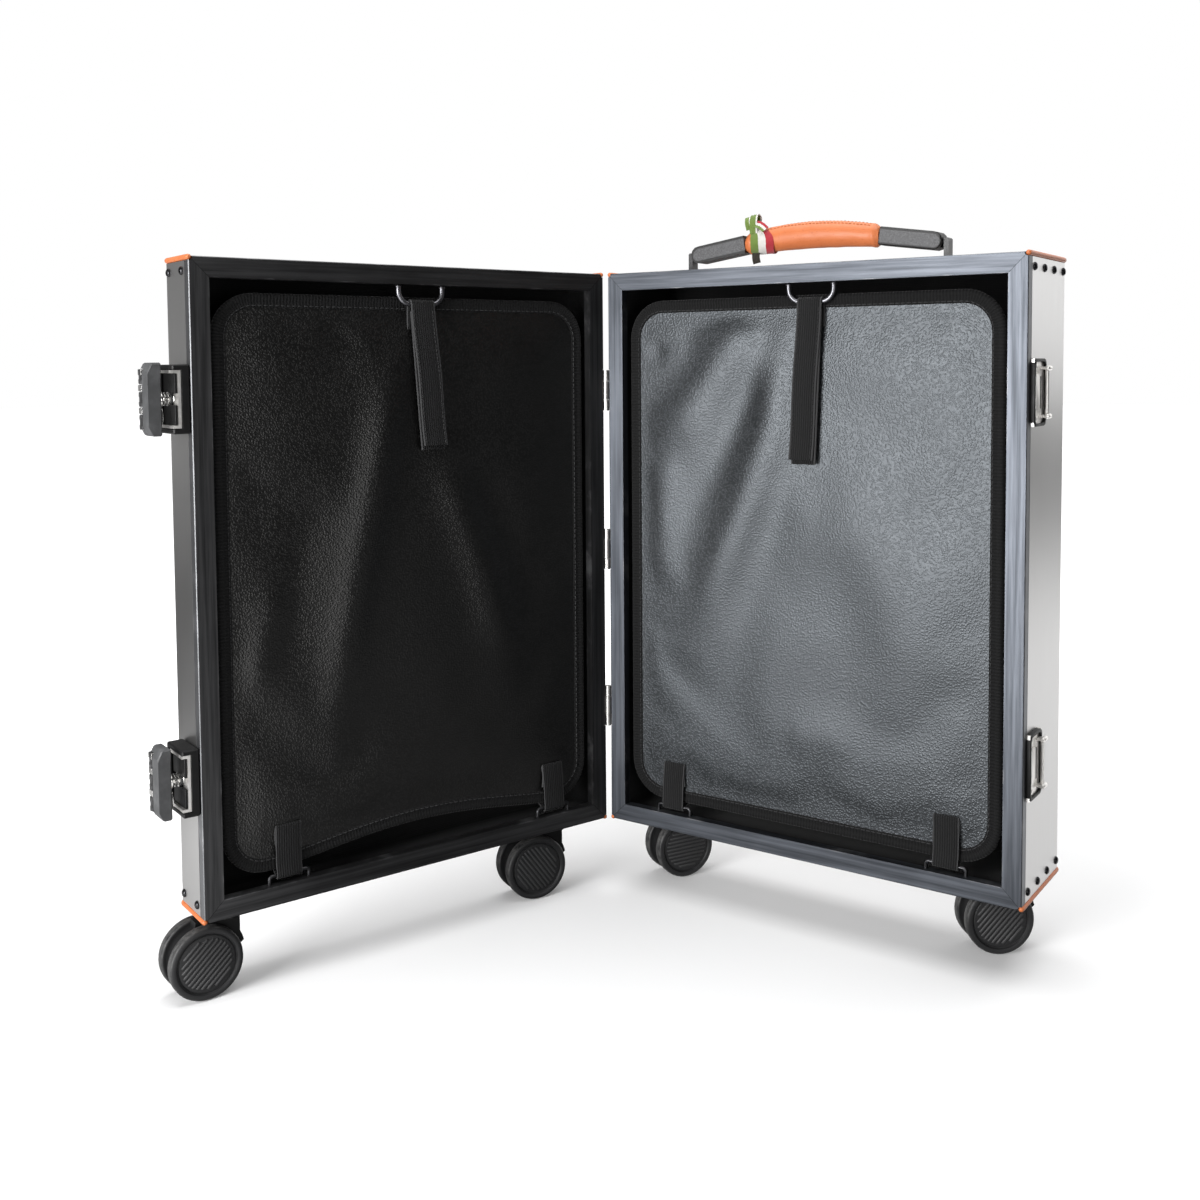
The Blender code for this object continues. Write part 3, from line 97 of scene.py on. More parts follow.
LID_FOLDS = [
    Fold([(0.1909, 0.4285), (0.2063, 0.3915), (0.216, 0.3462), (0.2229, 0.3124), (0.237, 0.2566), (0.2486, 0.2011),
          (0.2588, 0.1458), (0.2658, 0.1015)], 0.017, 0.0041),
    Fold([(0.163, 0.338), (0.1519, 0.3138), (0.1354, 0.2709), (0.120, 0.2271), (0.1064, 0.1827), (0.0976, 0.1381)],
         0.017, 0.0030),
    Fold([(0.2963, 0.2458), (0.3071, 0.2251), (0.3203, 0.1886), (0.3335, 0.1526)], 0.014, 0.0018),
    Fold([(0.265, 0.330), (0.285, 0.260), (0.300, 0.200), (0.305, 0.150)], 0.018, -0.0016),
    Fold([(0.130, 0.330), (0.100, 0.270), (0.078, 0.220), (0.060, 0.170)], 0.018, -0.0018),
    Fold([(0.240, 0.440), (0.262, 0.400)], 0.018, -0.0010),
]
BASE = Half(
    name="base", depth=BASE_DEPTH, place=BASE_PLACE, panel="base_divider_panel",
    strap_shift=0.010, strap_lean=-0.008, strap_length=0.128, loop_shift=0.0015, arch=0.0,
    shine=0.78, dryness=0.335, dust=(0.018, 0.052), cast=(0.87, 0.935, 1.0),
    # Painted reflection: the base's rails are paler and bluer than the lid's.
    rail_tones=((0.030, 0.033, 0.038), (0.145, 0.156, 0.178)), folds=BASE_FOLDS,
)
LID = Half(
    name="lid", depth=LID_DEPTH, place=LID_PLACE, panel="lid_divider_panel",
    strap_shift=-0.0045, strap_lean=-0.011, strap_length=0.114, loop_shift=-0.0065, arch=0.0115,
    shine=0.70, dryness=0.25, dust=(0.005, 0.010), cast=(1.0, 0.99, 0.97),
    rail_tones=((0.026, 0.026, 0.027), (0.115, 0.115, 0.118)), folds=LID_FOLDS,
)
HALVES = (BASE, LID)


# Shader maths and nodes

class Signal:
    """A shader socket that takes part in Python arithmetic."""

    def __init__(self, nodes, socket):
        self.nodes = nodes
        self.socket = socket

    def maths(self, operation, *values):
        return self.nodes.node("ShaderNodeMath", {"operation": operation}, dict(enumerate(values)))

    def __abs__(self):
        return self.maths("ABSOLUTE", self)

    def least(self, other):
        return self.maths("MINIMUM", self, other)

    def most(self, other):
        return self.maths("MAXIMUM", self, other)

    def wave(self, pitch):
        """A smooth wave from 0 to 1 with the given pitch in metres."""
        return self.maths("SINE", self * (2 * math.pi / pitch)) * 0.5 + 0.5

    def ease(self, low, high):
        """0 below low, 1 above high, smooth between."""
        settings = {"interpolation_type": "SMOOTHSTEP"}
        return self.nodes.node("ShaderNodeMapRange", settings, {"Value": self, "From Min": low, "From Max": high})


def shader_operator(operation, swapped=False):
    """A method that stands for one Python operator on signals."""
    def apply(signal, other):
        return signal.maths(operation, other, signal) if swapped else signal.maths(operation, signal, other)
    return apply


for sign, operation in (("add", "ADD"), ("sub", "SUBTRACT"), ("mul", "MULTIPLY"), ("truediv", "DIVIDE")):
    setattr(Signal, "__" + sign + "__", shader_operator(operation))
    setattr(Signal, "__r" + sign + "__", shader_operator(operation, True))
for sign, operation in (("pow", "POWER"), ("gt", "GREATER_THAN"), ("lt", "LESS_THAN")):
    setattr(Signal, "__" + sign + "__", shader_operator(operation))


class Nodes:
    """A node tree that its materials are written in."""

    def __init__(self, tree):
        self.tree = tree

    def node(self, kind, settings=None, sockets=None, output=0):
        made = self.tree.nodes.new(kind)
        for key, value in (settings or {}).items():
            setattr(made, key, value)
        for key, value in (sockets or {}).items():
            if isinstance(value, Signal):
                self.tree.links.new(value.socket, made.inputs[key])
            else:
                made.inputs[key].default_value = value
        return Signal(self, made.outputs[output]) if len(made.outputs) else None

    def parts_of(self, vector):
        return [self.node("ShaderNodeSeparateXYZ", {}, {0: vector}, index) for index in range(3)]

    def mix(self, factor, first, second):
        """Two colours, the second where the factor is 1."""
        ends = [(*end, 1) if isinstance(end, tuple) else end for end in (first, second)]
        return self.node("ShaderNodeMix", {"data_type": "RGBA"}, {0: factor, 6: ends[0], 7: ends[1]}, 2)

    def noise(self, place, scale, detail=2.0, roughness=0.5):
        sockets = {"Vector": place, "Scale": scale, "Detail": detail, "Roughness": roughness}
        return self.node("ShaderNodeTexNoise", {}, sockets)

    def cells(self, place, scale, feature="F1"):
        return self.node("ShaderNodeTexVoronoi", {"feature": feature}, {"Vector": place, "Scale": scale})

    def stretched(self, place, scale):
        return self.node("ShaderNodeMapping", {}, {"Vector": place, "Scale": scale})

    def bump(self, height, strength, distance):
        return self.node("ShaderNodeBump", {}, {"Height": height, "Strength": strength, "Distance": distance})


class Finish(Nodes):
    """A material with one Principled shader; values that are the same all over go straight on its sockets."""

    def __init__(self, name, **constants):
        self.material = bpy.data.materials.new(name)
        self.material.use_nodes = True
        super().__init__(self.material.node_tree)
        self.shader = self.tree.nodes["Principled BSDF"]
        self.shade(**constants)

    def shade(self, **inputs):
        for key, value in inputs.items():
            socket = self.shader.inputs[key.replace("_", " ").title().replace("Ior", "IOR")]
            if isinstance(value, Signal):
                self.tree.links.new(value.socket, socket)
            else:
                socket.default_value = (*value, 1) if isinstance(value, tuple) else value
        return self.material

    def place(self, half=None):
        """Where the surface is at rest: in the world, or in a half's own frame, with depth signed for the lid."""
        world = self.node("ShaderNodeTexCoord", {}, {}, "Object")
        if half is None:
            return world
        turn = OPEN_ANGLE if half.name == "lid" else 0.0
        corner = Matrix.Rotation(turn, 3, "Z") @ half.place.translation
        return self.node("ShaderNodeMapping", {}, {"Vector": world, "Location": -corner, "Rotation": (0, 0, turn)})

    def tape(self):
        """Across and along a band, in metres, from its own map."""
        return self.parts_of(self.node("ShaderNodeUVMap", {"uv_map": "tape"}))


def panel_aluminium(half):
    """Satin anodised sheet: fine upright brushing, faint clouding and hairline scuffs."""
    made = Finish("panel_aluminium_" + half.name, metallic=1.0)
    place = made.place(half)
    brushing = made.noise(made.stretched(place, (900, 900, 14)), 1.0, 3.0, 0.6)
    clouding = made.noise(place, 9.0, 3.0)
    scuffs = made.noise(made.stretched(place, (60, 60, 700)), 1.0, 2.0).ease(0.70, 0.78)
    tone = made.mix(clouding, (0.44, 0.435, 0.43), (0.54, 0.535, 0.53))
    colour = made.mix(scuffs * 0.25, tone, (0.66, 0.655, 0.65))
    normal = made.bump(brushing, 0.12, 0.0002)
    return made.shade(base_color=colour, roughness=0.25 + brushing * 0.10 + clouding * 0.06, normal=normal)


def frame_aluminium(half):
    """Dark anodised rails brushed along their length, with a fine line at each mitre and bare wear at the edges. Each
    half's tones are painted light, paler and bluer on the base as painted reflection and darker on the lid as painted
    shade, and the outer sides carry a painted highlight.
    """
    made = Finish("frame_aluminium_" + half.name, metallic=1.0)
    place = made.place(half)
    across, _, height = made.parts_of(place)
    to_side = across.least(SHELL_WIDTH - across)
    to_end = height.least(SHELL_HEIGHT - height)
    upright = to_side < to_end
    along_upright = made.noise(made.stretched(place, (1400, 700, 9)), 1.0, 3.0, 0.62)
    along_level = made.noise(made.stretched(place, (9, 700, 1400)), 1.0, 3.0, 0.62)
    brushing = along_upright * upright + along_level * (1 - upright)
    mottle = made.noise(place, 38.0, 4.0, 0.6)
    streak_upright = made.noise(made.stretched(place, (260, 120, 7)), 1.0, 4.0, 0.6)
    streak_level = made.noise(made.stretched(place, (7, 120, 260)), 1.0, 4.0, 0.6)
    streak = (streak_upright * upright + streak_level * (1 - upright)).ease(0.30, 0.72)
    mitre = (abs(to_side - to_end) < 0.00022) * (to_side < FRAME_FACE)
    edge = 1 - to_side.least(to_end).least(abs(FRAME_FACE - to_side.least(to_end))).ease(0.0002, 0.0011)
    # The tones per half are painted light: paler and bluer on the base, darker on the lid.
    tone = made.mix(brushing * 0.25 + streak * 0.60 + mottle * 0.15, *half.rail_tones)
    # Painted highlight: the rails' outer side faces are made paler.
    outer_side_highlight = 1 - to_side.ease(0.0001, 0.0006)
    highlighted_sides = made.mix(outer_side_highlight * 0.6, tone, (0.20, 0.205, 0.215))
    worn = made.mix(edge * mottle.ease(0.50, 0.72) * 0.5, highlighted_sides, (0.30, 0.30, 0.31))
    colour = made.mix(mitre * 0.8, worn, (0.008, 0.008, 0.008))
    normal = made.bump(brushing * 0.6 + mitre * -1.0, 0.22, 0.0003)
    return made.shade(base_color=colour, roughness=0.34 + brushing * 0.16 + mottle * 0.10, normal=normal)


def orange_leather(name):
    """Smooth vegetable-tanned leather with pores and a slightly waxed shine."""
    made = Finish(name, specular_ior_level=0.45, coat_weight=0.12, coat_roughness=0.30)
    place = made.place()
    pores = made.cells(place, 1500.0)
    creases = made.noise(place, 420.0, 3.0, 0.6)
    tone = made.noise(place, 60.0, 3.0)
    colour = made.mix(tone, (0.54, 0.140, 0.040), (0.67, 0.200, 0.066))
    shaded = made.mix(creases.ease(0.58, 0.75) * 0.5, colour, (0.42, 0.085, 0.020))
    normal = made.bump(pores * 0.5 + creases, 0.25, 0.0003)
    return made.shade(base_color=shaded, roughness=0.40 + creases * 0.16, normal=normal)


PEBBLES_PER_METRE = 600.0
PEBBLE_STRAY = 0.0009


def pebbled_leather(half):
    """Black leather with a raised pebble grain, its pebbles paler than the gaps between them: painted highlight on the
    pebbles and painted shade in the gaps, paler and bluer on the base as painted sheen.
    """
    made = Finish("pebbled_leather_" + half.name, specular_ior_level=half.shine, specular_tint=half.cast)
    place = made.place(half)
    wander = made.node("ShaderNodeTexNoise", {}, {"Vector": place, "Scale": 300.0}, "Color")
    strayed = made.node("ShaderNodeVectorMath", {"operation": "SCALE"}, {0: wander, "Scale": PEBBLE_STRAY})
    warped = made.node("ShaderNodeVectorMath", {"operation": "ADD"}, {0: place, 1: strayed})
    domes = 1 - made.cells(warped, PEBBLES_PER_METRE).ease(0.10, 0.70)
    fine = made.noise(place, 1500.0, 2.0)
    clouding = made.noise(place, 22.0, 3.0)
    # Painted light: the pebbles' tops take paler tones as painted highlight, and the gaps stay near black as painted
    # shade.
    pebbles = [tuple(dust * share for share in half.cast) for dust in half.dust]
    tone = made.mix(clouding * 0.5 + fine * 0.5, *pebbles)
    colour = made.mix(domes, (0.002, 0.002, 0.002), tone)
    normal = made.bump(domes + fine * 0.25, 0.34, 0.0005)
    return made.shade(base_color=colour, roughness=half.dryness + clouding * 0.10 + fine * 0.06, normal=normal)


def ribbed_tape(name, pitch=0.0019, pale=(0.015, 0.015, 0.0155), dark=(0.003, 0.003, 0.0032), half_width=0.0103):
    """Black webbing: ribs along its length, a close weft and paler worn selvedges."""
    made = Finish(name, specular_ior_level=0.22, sheen_weight=0.08, sheen_roughness=0.5)
    across, along, _ = made.tape()
    ribs = across.wave(pitch)
    weft = along.wave(0.0011)
    fuzz = made.noise(made.place(), 2600.0, 2.0)
    selvedge = abs(across).ease(half_width - 0.0011, half_width - 0.0003)
    tone = made.mix(ribs * (0.6 + weft * 0.4), dark, pale)
    colour = made.mix(selvedge * (0.25 + fuzz * 0.5), tone, (0.09, 0.09, 0.092))
    normal = made.bump(ribs + weft * 0.35 + fuzz * 0.3, 0.75, 0.0005)
    return made.shade(base_color=colour, roughness=0.72 + fuzz * 0.2, normal=normal)


def thread(name, colour):
    made = Finish(name, specular_ior_level=0.35)
    twist = made.noise(made.place(), 3000.0, 2.0)
    tone = made.mix(twist, tuple(value * 0.6 for value in colour), colour)
    return made.shade(base_color=tone, roughness=0.55 + twist * 0.2, normal=made.bump(twist, 0.4, 0.0002))


def polished_chrome(name, tone, roughness):
    """Bright plating with smudges and light wear."""
    made = Finish(name, metallic=1.0)
    place = made.place()
    smudge = made.noise(place, 260.0, 4.0, 0.6)
    scratch = made.noise(made.stretched(place, (300, 300, 2400)), 1.0, 2.0)
    colour = made.mix(smudge, tuple(value * 0.82 for value in tone), tone)
    rough = roughness + smudge.ease(0.4, 0.8) * 0.12 + scratch * 0.05
    return made.shade(base_color=colour, roughness=rough, normal=made.bump(scratch, 0.08, 0.0002))


def moulded_plastic(name, tone, roughness, texture=0.10, shine=0.45):
    """Moulded plastic with a spark-eroded grain, rubbed smoother and paler in places."""
    made = Finish(name, specular_ior_level=shine)
    place = made.place()
    grain = made.noise(place, 2400.0, 2.0, 0.6)
    rubbed = made.noise(place, 75.0, 4.0, 0.6)
    worn = made.mix(rubbed.ease(0.35, 0.8), tone, tuple(value * 1.7 + 0.002 for value in tone))
    rough = roughness + grain * 0.12 - rubbed.ease(0.5, 0.8) * 0.10
    return made.shade(base_color=worn, roughness=rough, normal=made.bump(grain, texture, 0.0003))


def arm_plastic():
    """The handle's arms: a worn grey face inside a black edge, which is painted shade on the arms' rounded edges."""
    made = Finish("arm_plastic", specular_ior_level=0.40)
    place = made.place(BASE)
    across, _, height = made.parts_of(place)
    from_middle = abs(across - MIDDLE)
    along = (from_middle - GRIP_LENGTH / 2) / (ARM_REACH - GRIP_LENGTH / 2)
    off_line = height - SHELL_HEIGHT - (GRIP_END_RISE + along * (ARM_END_RISE - GRIP_END_RISE))
    past_end = (from_middle - ARM_REACH + ARM_HEIGHT / 2).most(0.0)
    # Painted shade: near black towards the arm's rounded edges.
    edge = ((past_end * past_end + off_line * off_line) ** 0.5).ease(ARM_HEIGHT / 2 - 0.0026, ARM_HEIGHT / 2 - 0.0015)
    grain = made.noise(place, 1700.0, 3.0, 0.7)
    face = made.mix(grain.ease(0.35, 0.70), (0.040, 0.040, 0.042), (0.125, 0.125, 0.130))
    colour = made.mix(edge, face, (0.003, 0.003, 0.003))
    return made.shade(base_color=colour, roughness=0.42 + grain * 0.14, normal=made.bump(grain, 0.25, 0.0003))


def lining_cloth():
    """Close black lining cloth."""
    made = Finish("lining_cloth", specular_ior_level=0.2, sheen_weight=0.1)
    place = made.place()
    across, depth, height = made.parts_of(place)
    weave = (across + depth).wave(0.0014) * height.wave(0.0014)
    slub = made.noise(place, 900.0, 2.0)
    colour = made.mix(weave * 0.6 + slub * 0.4, (0.004, 0.004, 0.004), (0.016, 0.016, 0.017))
    return made.shade(base_color=colour, roughness=0.85 + slub * 0.1, normal=made.bump(weave + slub * 0.4, 0.4, 0.0003))


def striped_ribbon():
    """Grosgrain ribbon in green, white and red stripes that run along it, with a near-black band past the stripes that
    is painted shade on the lower tail.
    """
    made = Finish("striped_ribbon", specular_ior_level=0.3, sheen_weight=0.2)
    across, along, _ = made.tape()
    ribs = along.wave(0.0009)
    fuzz = made.noise(made.place(), 1800.0, 2.0)
    wavering = across + (fuzz - 0.5) * 0.0006
    pale = made.mix(wavering > -0.0036, (0.16, 0.25, 0.045), (0.82, 0.80, 0.76))
    stripes = made.mix(wavering > 0.0037, pale, (0.46, 0.016, 0.036))
    # Painted shade: near black past the stripes, which only the lower tail shows.
    tail_shade_painted = made.mix(wavering > 0.0120, stripes, (0.020, 0.014, 0.012))
    colour = made.mix(ribs * 0.25 + fuzz * 0.2, tail_shade_painted, (0.05, 0.05, 0.03))
    return made.shade(base_color=colour, roughness=0.72 + fuzz * 0.15, normal=made.bump(ribs + fuzz * 0.5, 0.5, 0.0003))


def wheel_polymer():
    """Black wheel: a scuffed tread with a greyer rim, and a painted highlight along the tops of the hub's ribs."""
    made = Finish("wheel_polymer", specular_ior_level=0.4)
    place = made.place()
    scuff = made.noise(place, 170.0, 4.0, 0.65)
    grain = made.noise(place, 1900.0, 2.0)
    around, along, _ = made.tape()
    tread = around.ease(0.0266, 0.0275)
    tone = made.mix(scuff, (0.012, 0.012, 0.013), (0.026, 0.026, 0.027))
    # Painted highlight: paler along the tops of the hub's ribs.
    ribbed = made.mix((along * (around < 0.001)).ease(0.0002, 0.0011), tone, (0.042, 0.042, 0.043))
    colour = made.mix(tread * scuff.ease(0.30, 0.75), ribbed, (0.085, 0.084, 0.082))
    normal = made.bump(grain * 0.5 + scuff, 0.14, 0.0003)
    return made.shade(base_color=colour, roughness=0.42 + scuff * 0.18, normal=normal)


PANEL = {half.name: panel_aluminium(half) for half in HALVES}
RAILS = {half.name: frame_aluminium(half) for half in HALVES}
PAD_LEATHER = {half.name: pebbled_leather(half) for half in HALVES}
PIPING_LEATHER = orange_leather("piping_leather")
GRIP_LEATHER = orange_leather("grip_leather")
WEBBING = ribbed_tape("webbing")
BINDING = ribbed_tape("binding_tape", 0.0026, (0.0055, 0.0055, 0.006), (0.002, 0.002, 0.002), 50.0)
BLACK_THREAD = thread("black_thread", (0.030, 0.030, 0.031))
TAN_THREAD = thread("tan_thread", (0.50, 0.16, 0.05))
CHROME = polished_chrome("latch_chrome", (0.82, 0.81, 0.79), 0.12)
HINGE_STEEL = polished_chrome("hinge_steel", (0.56, 0.55, 0.53), 0.28)
RING_STEEL = polished_chrome("ring_steel", (0.20, 0.20, 0.215), 0.30)
STAPLE_STEEL = polished_chrome("staple_steel", (0.060, 0.060, 0.063), 0.35)
BLACK_MOULDING = moulded_plastic("black_moulding", (0.004, 0.004, 0.0042), 0.42, 0.10, 0.25)
KNOB_GREY = moulded_plastic("knob_grey", (0.055, 0.056, 0.058), 0.50, 0.2)
LUG_GREY = moulded_plastic("lug_grey", (0.020, 0.020, 0.021), 0.36)
ARM_PLASTIC = arm_plastic()
PLATED = polished_chrome("satin_plate", (0.95, 0.93, 0.90), 0.40)
DIAL_BLACK = moulded_plastic("dial_black", (0.016, 0.016, 0.017), 0.45)
RIVET_BLACK = polished_chrome("rivet_black", (0.035, 0.035, 0.037), 0.22)
LINING = lining_cloth()
RIBBON = striped_ribbon()
WHEEL = wheel_polymer()


# Mesh tools

def turns(count):
    return [2 * math.pi * index / count for index in range(count)]


def arc(centre, radius, start, end, steps):
    """Points along an arc in a plane, angles in radians."""
    angles = [start + (end - start) * step / steps for step in range(steps + 1)]
    return [(centre[0] + radius * math.cos(angle), centre[1] + radius * math.sin(angle)) for angle in angles]


def smooth_step(value):
    value = min(max(value, 0.0), 1.0)
    return value * value * (3 - 2 * value)


def running_lengths(points):
    """How far each point of a line lies from its start."""
    lengths = [0.0]
    for first, second in zip(points, points[1:]):
        lengths.append(lengths[-1] + (second - first).length)
    return lengths


def flowing(points, steps):
    """A smooth curve through points, with steps between each two."""
    points = [Vector(point) for point in points]
    ends = [2 * points[0] - points[1]] + points + [2 * points[-1] - points[-2]]
    curve = []
    for index in range(1, len(ends) - 2):
        before, start, end, after = ends[index - 1:index + 3]
        for step in range(steps):
            t = step / steps
            curve.append(0.5 * (2 * start + (end - before) * t + (2 * before - 5 * start + 4 * end - after) * t * t
                                + (3 * start - before - 3 * end + after) * t ** 3))
    return curve + [points[-1]]


def grid_faces(shape, rows):
    """Faces between the rows of a grid of corners."""
    for low, high in zip(rows, rows[1:]):
        for column in range(len(low) - 1):
            shape.faces.new((low[column], low[column + 1], high[column + 1], high[column]))


def rim(rows):
    """The outer corners of a grid, in order round it."""
    return rows[0][:-1] + [row[-1] for row in rows[:-1]] + rows[-1][:0:-1] + [row[0] for row in rows[:0:-1]]


def loft(shape, rings, loop=False, caps=True):
    """Skin between rings of points; loop joins the last ring to the first."""
    rows = [[shape.verts.new(point) for point in ring] for ring in rings]
    pairs = list(zip(rows, rows[1:]))
    if loop:
        pairs.append((rows[-1], rows[0]))
    for low, high in pairs:
        for index in range(len(low)):
            after = (index + 1) % len(low)
            shape.faces.new((low[index], low[after], high[after], high[index]))
    if caps and not loop:
        shape.faces.new(rows[0][::-1])
        shape.faces.new(rows[-1])
    return rows


def tube(shape, path, radius, sides=10, loop=False, shares=None):
    """A round tube along a path, its rings carried along without twist; shares scale its radius."""
    points = [Vector(point) for point in path]
    last = len(points) - 1
    side = None
    rings = []
    for index, point in enumerate(points):
        before = points[index - 1] if index or loop else point
        after = points[(index + 1) % len(points)] if index < last or loop else point
        along = (after - before).normalized()
        side = side or along.orthogonal()
        side = (side - along * side.dot(along)).normalized()
        other = along.cross(side)
        swell = radius * (shares[index] if shares else 1.0)
        rings.append([point + swell * (math.cos(turn) * side + math.sin(turn) * other) for turn in turns(sides)])
    return loft(shape, rings, loop)


def rounded_tube(shape, path, radius, sides=10):
    """A tube whose two ends are domed."""
    points = [Vector(point) for point in path]
    first = (points[0] - points[1]).normalized()
    last = (points[-1] - points[-2]).normalized()
    lead = [points[0] + first * radius * reach for reach in (0.95, 0.75, 0.4)]
    tail = [points[-1] + last * radius * reach for reach in (0.4, 0.75, 0.95)]
    shares = [0.3, 0.68, 0.92] + [1.0] * len(points) + [0.92, 0.68, 0.3]
    tube(shape, lead + points + tail, radius, sides, shares=shares)


def turned(shape, profile, steps, place):
    """A profile of radius and height turned about Z, then moved by a matrix."""
    rings = [[place @ Vector((radius * math.cos(turn), radius * math.sin(turn), height)) for turn in turns(steps)]
             for radius, height in profile]
    return loft(shape, rings)


def tape_map(shape, places):
    """Write each corner's across and along, in metres, to the band's own map."""
    layer = shape.loops.layers.uv.verify()
    for face in shape.faces:
        for loop in face.loops:
            if loop.vert in places:
                loop[layer].uv = places[loop.vert]


def band(shape, path, width, thickness, centre=None, places=None):
    """A flat tape along a path of depth and height; centre gives its middle across at each share of its length."""
    points = [Vector(point) for point in path]
    lengths = running_lengths(points)
    half, thin = width / 2, thickness / 2
    section = [(-half, -thin / 2), (-half, thin / 2), (-half + thin, thin), (0, thin), (half - thin, thin),
               (half, thin / 2), (half, -thin / 2), (half - thin, -thin), (0, -thin), (-half + thin, -thin)]
    rings = []
    for index, point in enumerate(points):
        before = points[max(index - 1, 0)]
        after = points[min(index + 1, len(points) - 1)]
        along = (after - before).normalized()
        out = Vector((-along.y, along.x))
        middle = centre(lengths[index] / lengths[-1]) if centre else 0.0
        rings.append([(middle + side, point.x + out.x * lift, point.y + out.y * lift) for side, lift in section])
    rows = loft(shape, rings)
    for row, length in zip(rows, lengths):
        for corner, (side, _) in zip(row, section):
            places[corner] = (side, length)


def stitches(shape, points, normals, pitch, length, radius):
    """Separate stitches along a line, each a short bowed thread that dips at both ends."""
    travelled = 0.0
    due = 0.0
    for index in range(len(points) - 1):
        start, end = points[index], points[index + 1]
        span = (end - start).length
        along = (end - start).normalized() if span else Vector((0, 0, 1))
        while due <= travelled + span and span:
            middle = start + along * (due - travelled)
            out = normals[index]
            ends = [middle + along * length * share + out * radius * rise
                    for share, rise in ((-0.5, -0.9), (-0.25, 0.55), (0.25, 0.55), (0.5, -0.9))]
            tube(shape, ends, radius, 6)
            due += pitch
        travelled += span


def mesh_from(name, shape):
    mesh = bpy.data.meshes.new(name)
    shape.to_mesh(mesh)
    shape.free()
    return mesh


def placed(name, data):
    """A new object in the scene."""
    made = bpy.data.objects.new(name, data)
    bpy.context.scene.collection.objects.link(made)
    return made


def add_piece(name, shape, finish, body, place=None, sharp=38.0, replaces=()):
    """A finished mesh as a named piece that rides a body; place moves it from a half's frame to the world."""
    if place is not None:
        bmesh.ops.transform(shape, matrix=place, verts=shape.verts)
    bmesh.ops.recalc_face_normals(shape, faces=shape.faces)
    mesh = mesh_from(name, shape)
    if mesh.uv_layers:
        mesh.uv_layers[0].name = "tape"
    mesh.materials.append(finish)
    mesh.shade_smooth()
    mesh.set_sharp_from_angle(angle=math.radians(sharp))
    piece = placed(name, mesh)
    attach(piece, body)
    if replaces:
        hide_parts(*replaces)
    return piece


def soften(piece, width, segments=2, angle=30):
    """Round a solid's sharp edges a little, so that they catch the light."""
    bevel = piece.modifiers.new("soft_edges", "BEVEL")
    bevel.width = width
    bevel.segments = segments
    bevel.limit_method = "ANGLE"
    bevel.angle_limit = math.radians(angle)
    bevel.use_clamp_overlap = True


def dress(name, finish, edge=0.0):
    """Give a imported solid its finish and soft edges."""
    piece = NODES[name]
    piece.data.materials.clear()
    piece.data.materials.append(finish)
    if edge:
        soften(piece, edge)


# Shell: panels, rails, piping, rivets and lining

PIPING_INSET = 0.0008
PIPING_RISE = 0.00072
PIPING_RADIUS = 0.0021


def piping_path(half):
    back = half.depth - BEND_RADIUS
    radius = BEND_RADIUS - PIPING_INSET
    path = [(PIPING_INSET, 0.0023), (PIPING_INSET, 0.006)]
    path += [(PIPING_INSET, 0.006 + (back - 0.006) * step / 6) for step in range(1, 6)]
    path += arc((BEND_RADIUS, back), radius, math.pi, math.pi / 2, 6)
    path += arc((SHELL_WIDTH - BEND_RADIUS, back), radius, math.pi / 2, 0, 6)
    path += [(SHELL_WIDTH - across, depth) for across, depth in path[6::-1]]
    return path


def add_piping(half, end):
    """A rolled leather edge in the joint between a cap and the wrap."""
    height = PIPING_RISE if end == "bottom" else SHELL_HEIGHT - PIPING_RISE
    shape = bmesh.new()
    rounded_tube(shape, [(across, depth, height) for across, depth in piping_path(half)], PIPING_RADIUS, 14)
    name = half.name + "_" + end + "_piping"
    add_piece(name + "_leather", shape, PIPING_LEATHER, half.name, half.place, 60, [name])


RIVET_EDGE = 0.010
RIVET_FROM_MOUTH = 0.015
RIVET_FROM_BACK = 0.0085
RIVET_PITCH = 0.026
BACK_RIVETS = 6


def rivet_seats(half):
    """The place of each rivet on the wrap and the way it faces."""
    last = half.depth - RIVET_FROM_BACK
    count = 1 + round((last - RIVET_FROM_MOUTH) / RIVET_PITCH)
    span = SHELL_WIDTH - 2 * RIVET_FROM_MOUTH
    for height in (RIVET_EDGE, SHELL_HEIGHT - RIVET_EDGE):
        for index in range(count):
            depth = RIVET_FROM_MOUTH + (last - RIVET_FROM_MOUTH) * index / (count - 1)
            yield Vector((0, depth, height)), Vector((-1, 0, 0))
            yield Vector((SHELL_WIDTH, depth, height)), Vector((1, 0, 0))
        for index in range(BACK_RIVETS):
            across = RIVET_FROM_MOUTH + span * index / (BACK_RIVETS - 1)
            yield Vector((across, half.depth, height)), Vector((0, 1, 0))


def add_rivets(half):
    """Black dome rivets with a small flange, over the shell's fastening points."""
    profile = [(0.0030, 0.00005), (0.0032, 0.0003), (0.0031, 0.0006), (0.0029, 0.0009), (0.0024, 0.0014),
               (0.0016, 0.0018), (0.0008, 0.00195), (0.0002, 0.0020)]
    shape = bmesh.new()
    for seat, out in rivet_seats(half):
        place = Matrix.Translation(seat) @ out.to_track_quat("Z", "Y").to_matrix().to_4x4()
        turned(shape, profile, 16, place)
    add_piece(half.name + "_rivets", shape, RIVET_BLACK, half.name, half.place, 50)


LINING_INSET = 0.0056
LINING_FRONT = 0.0178


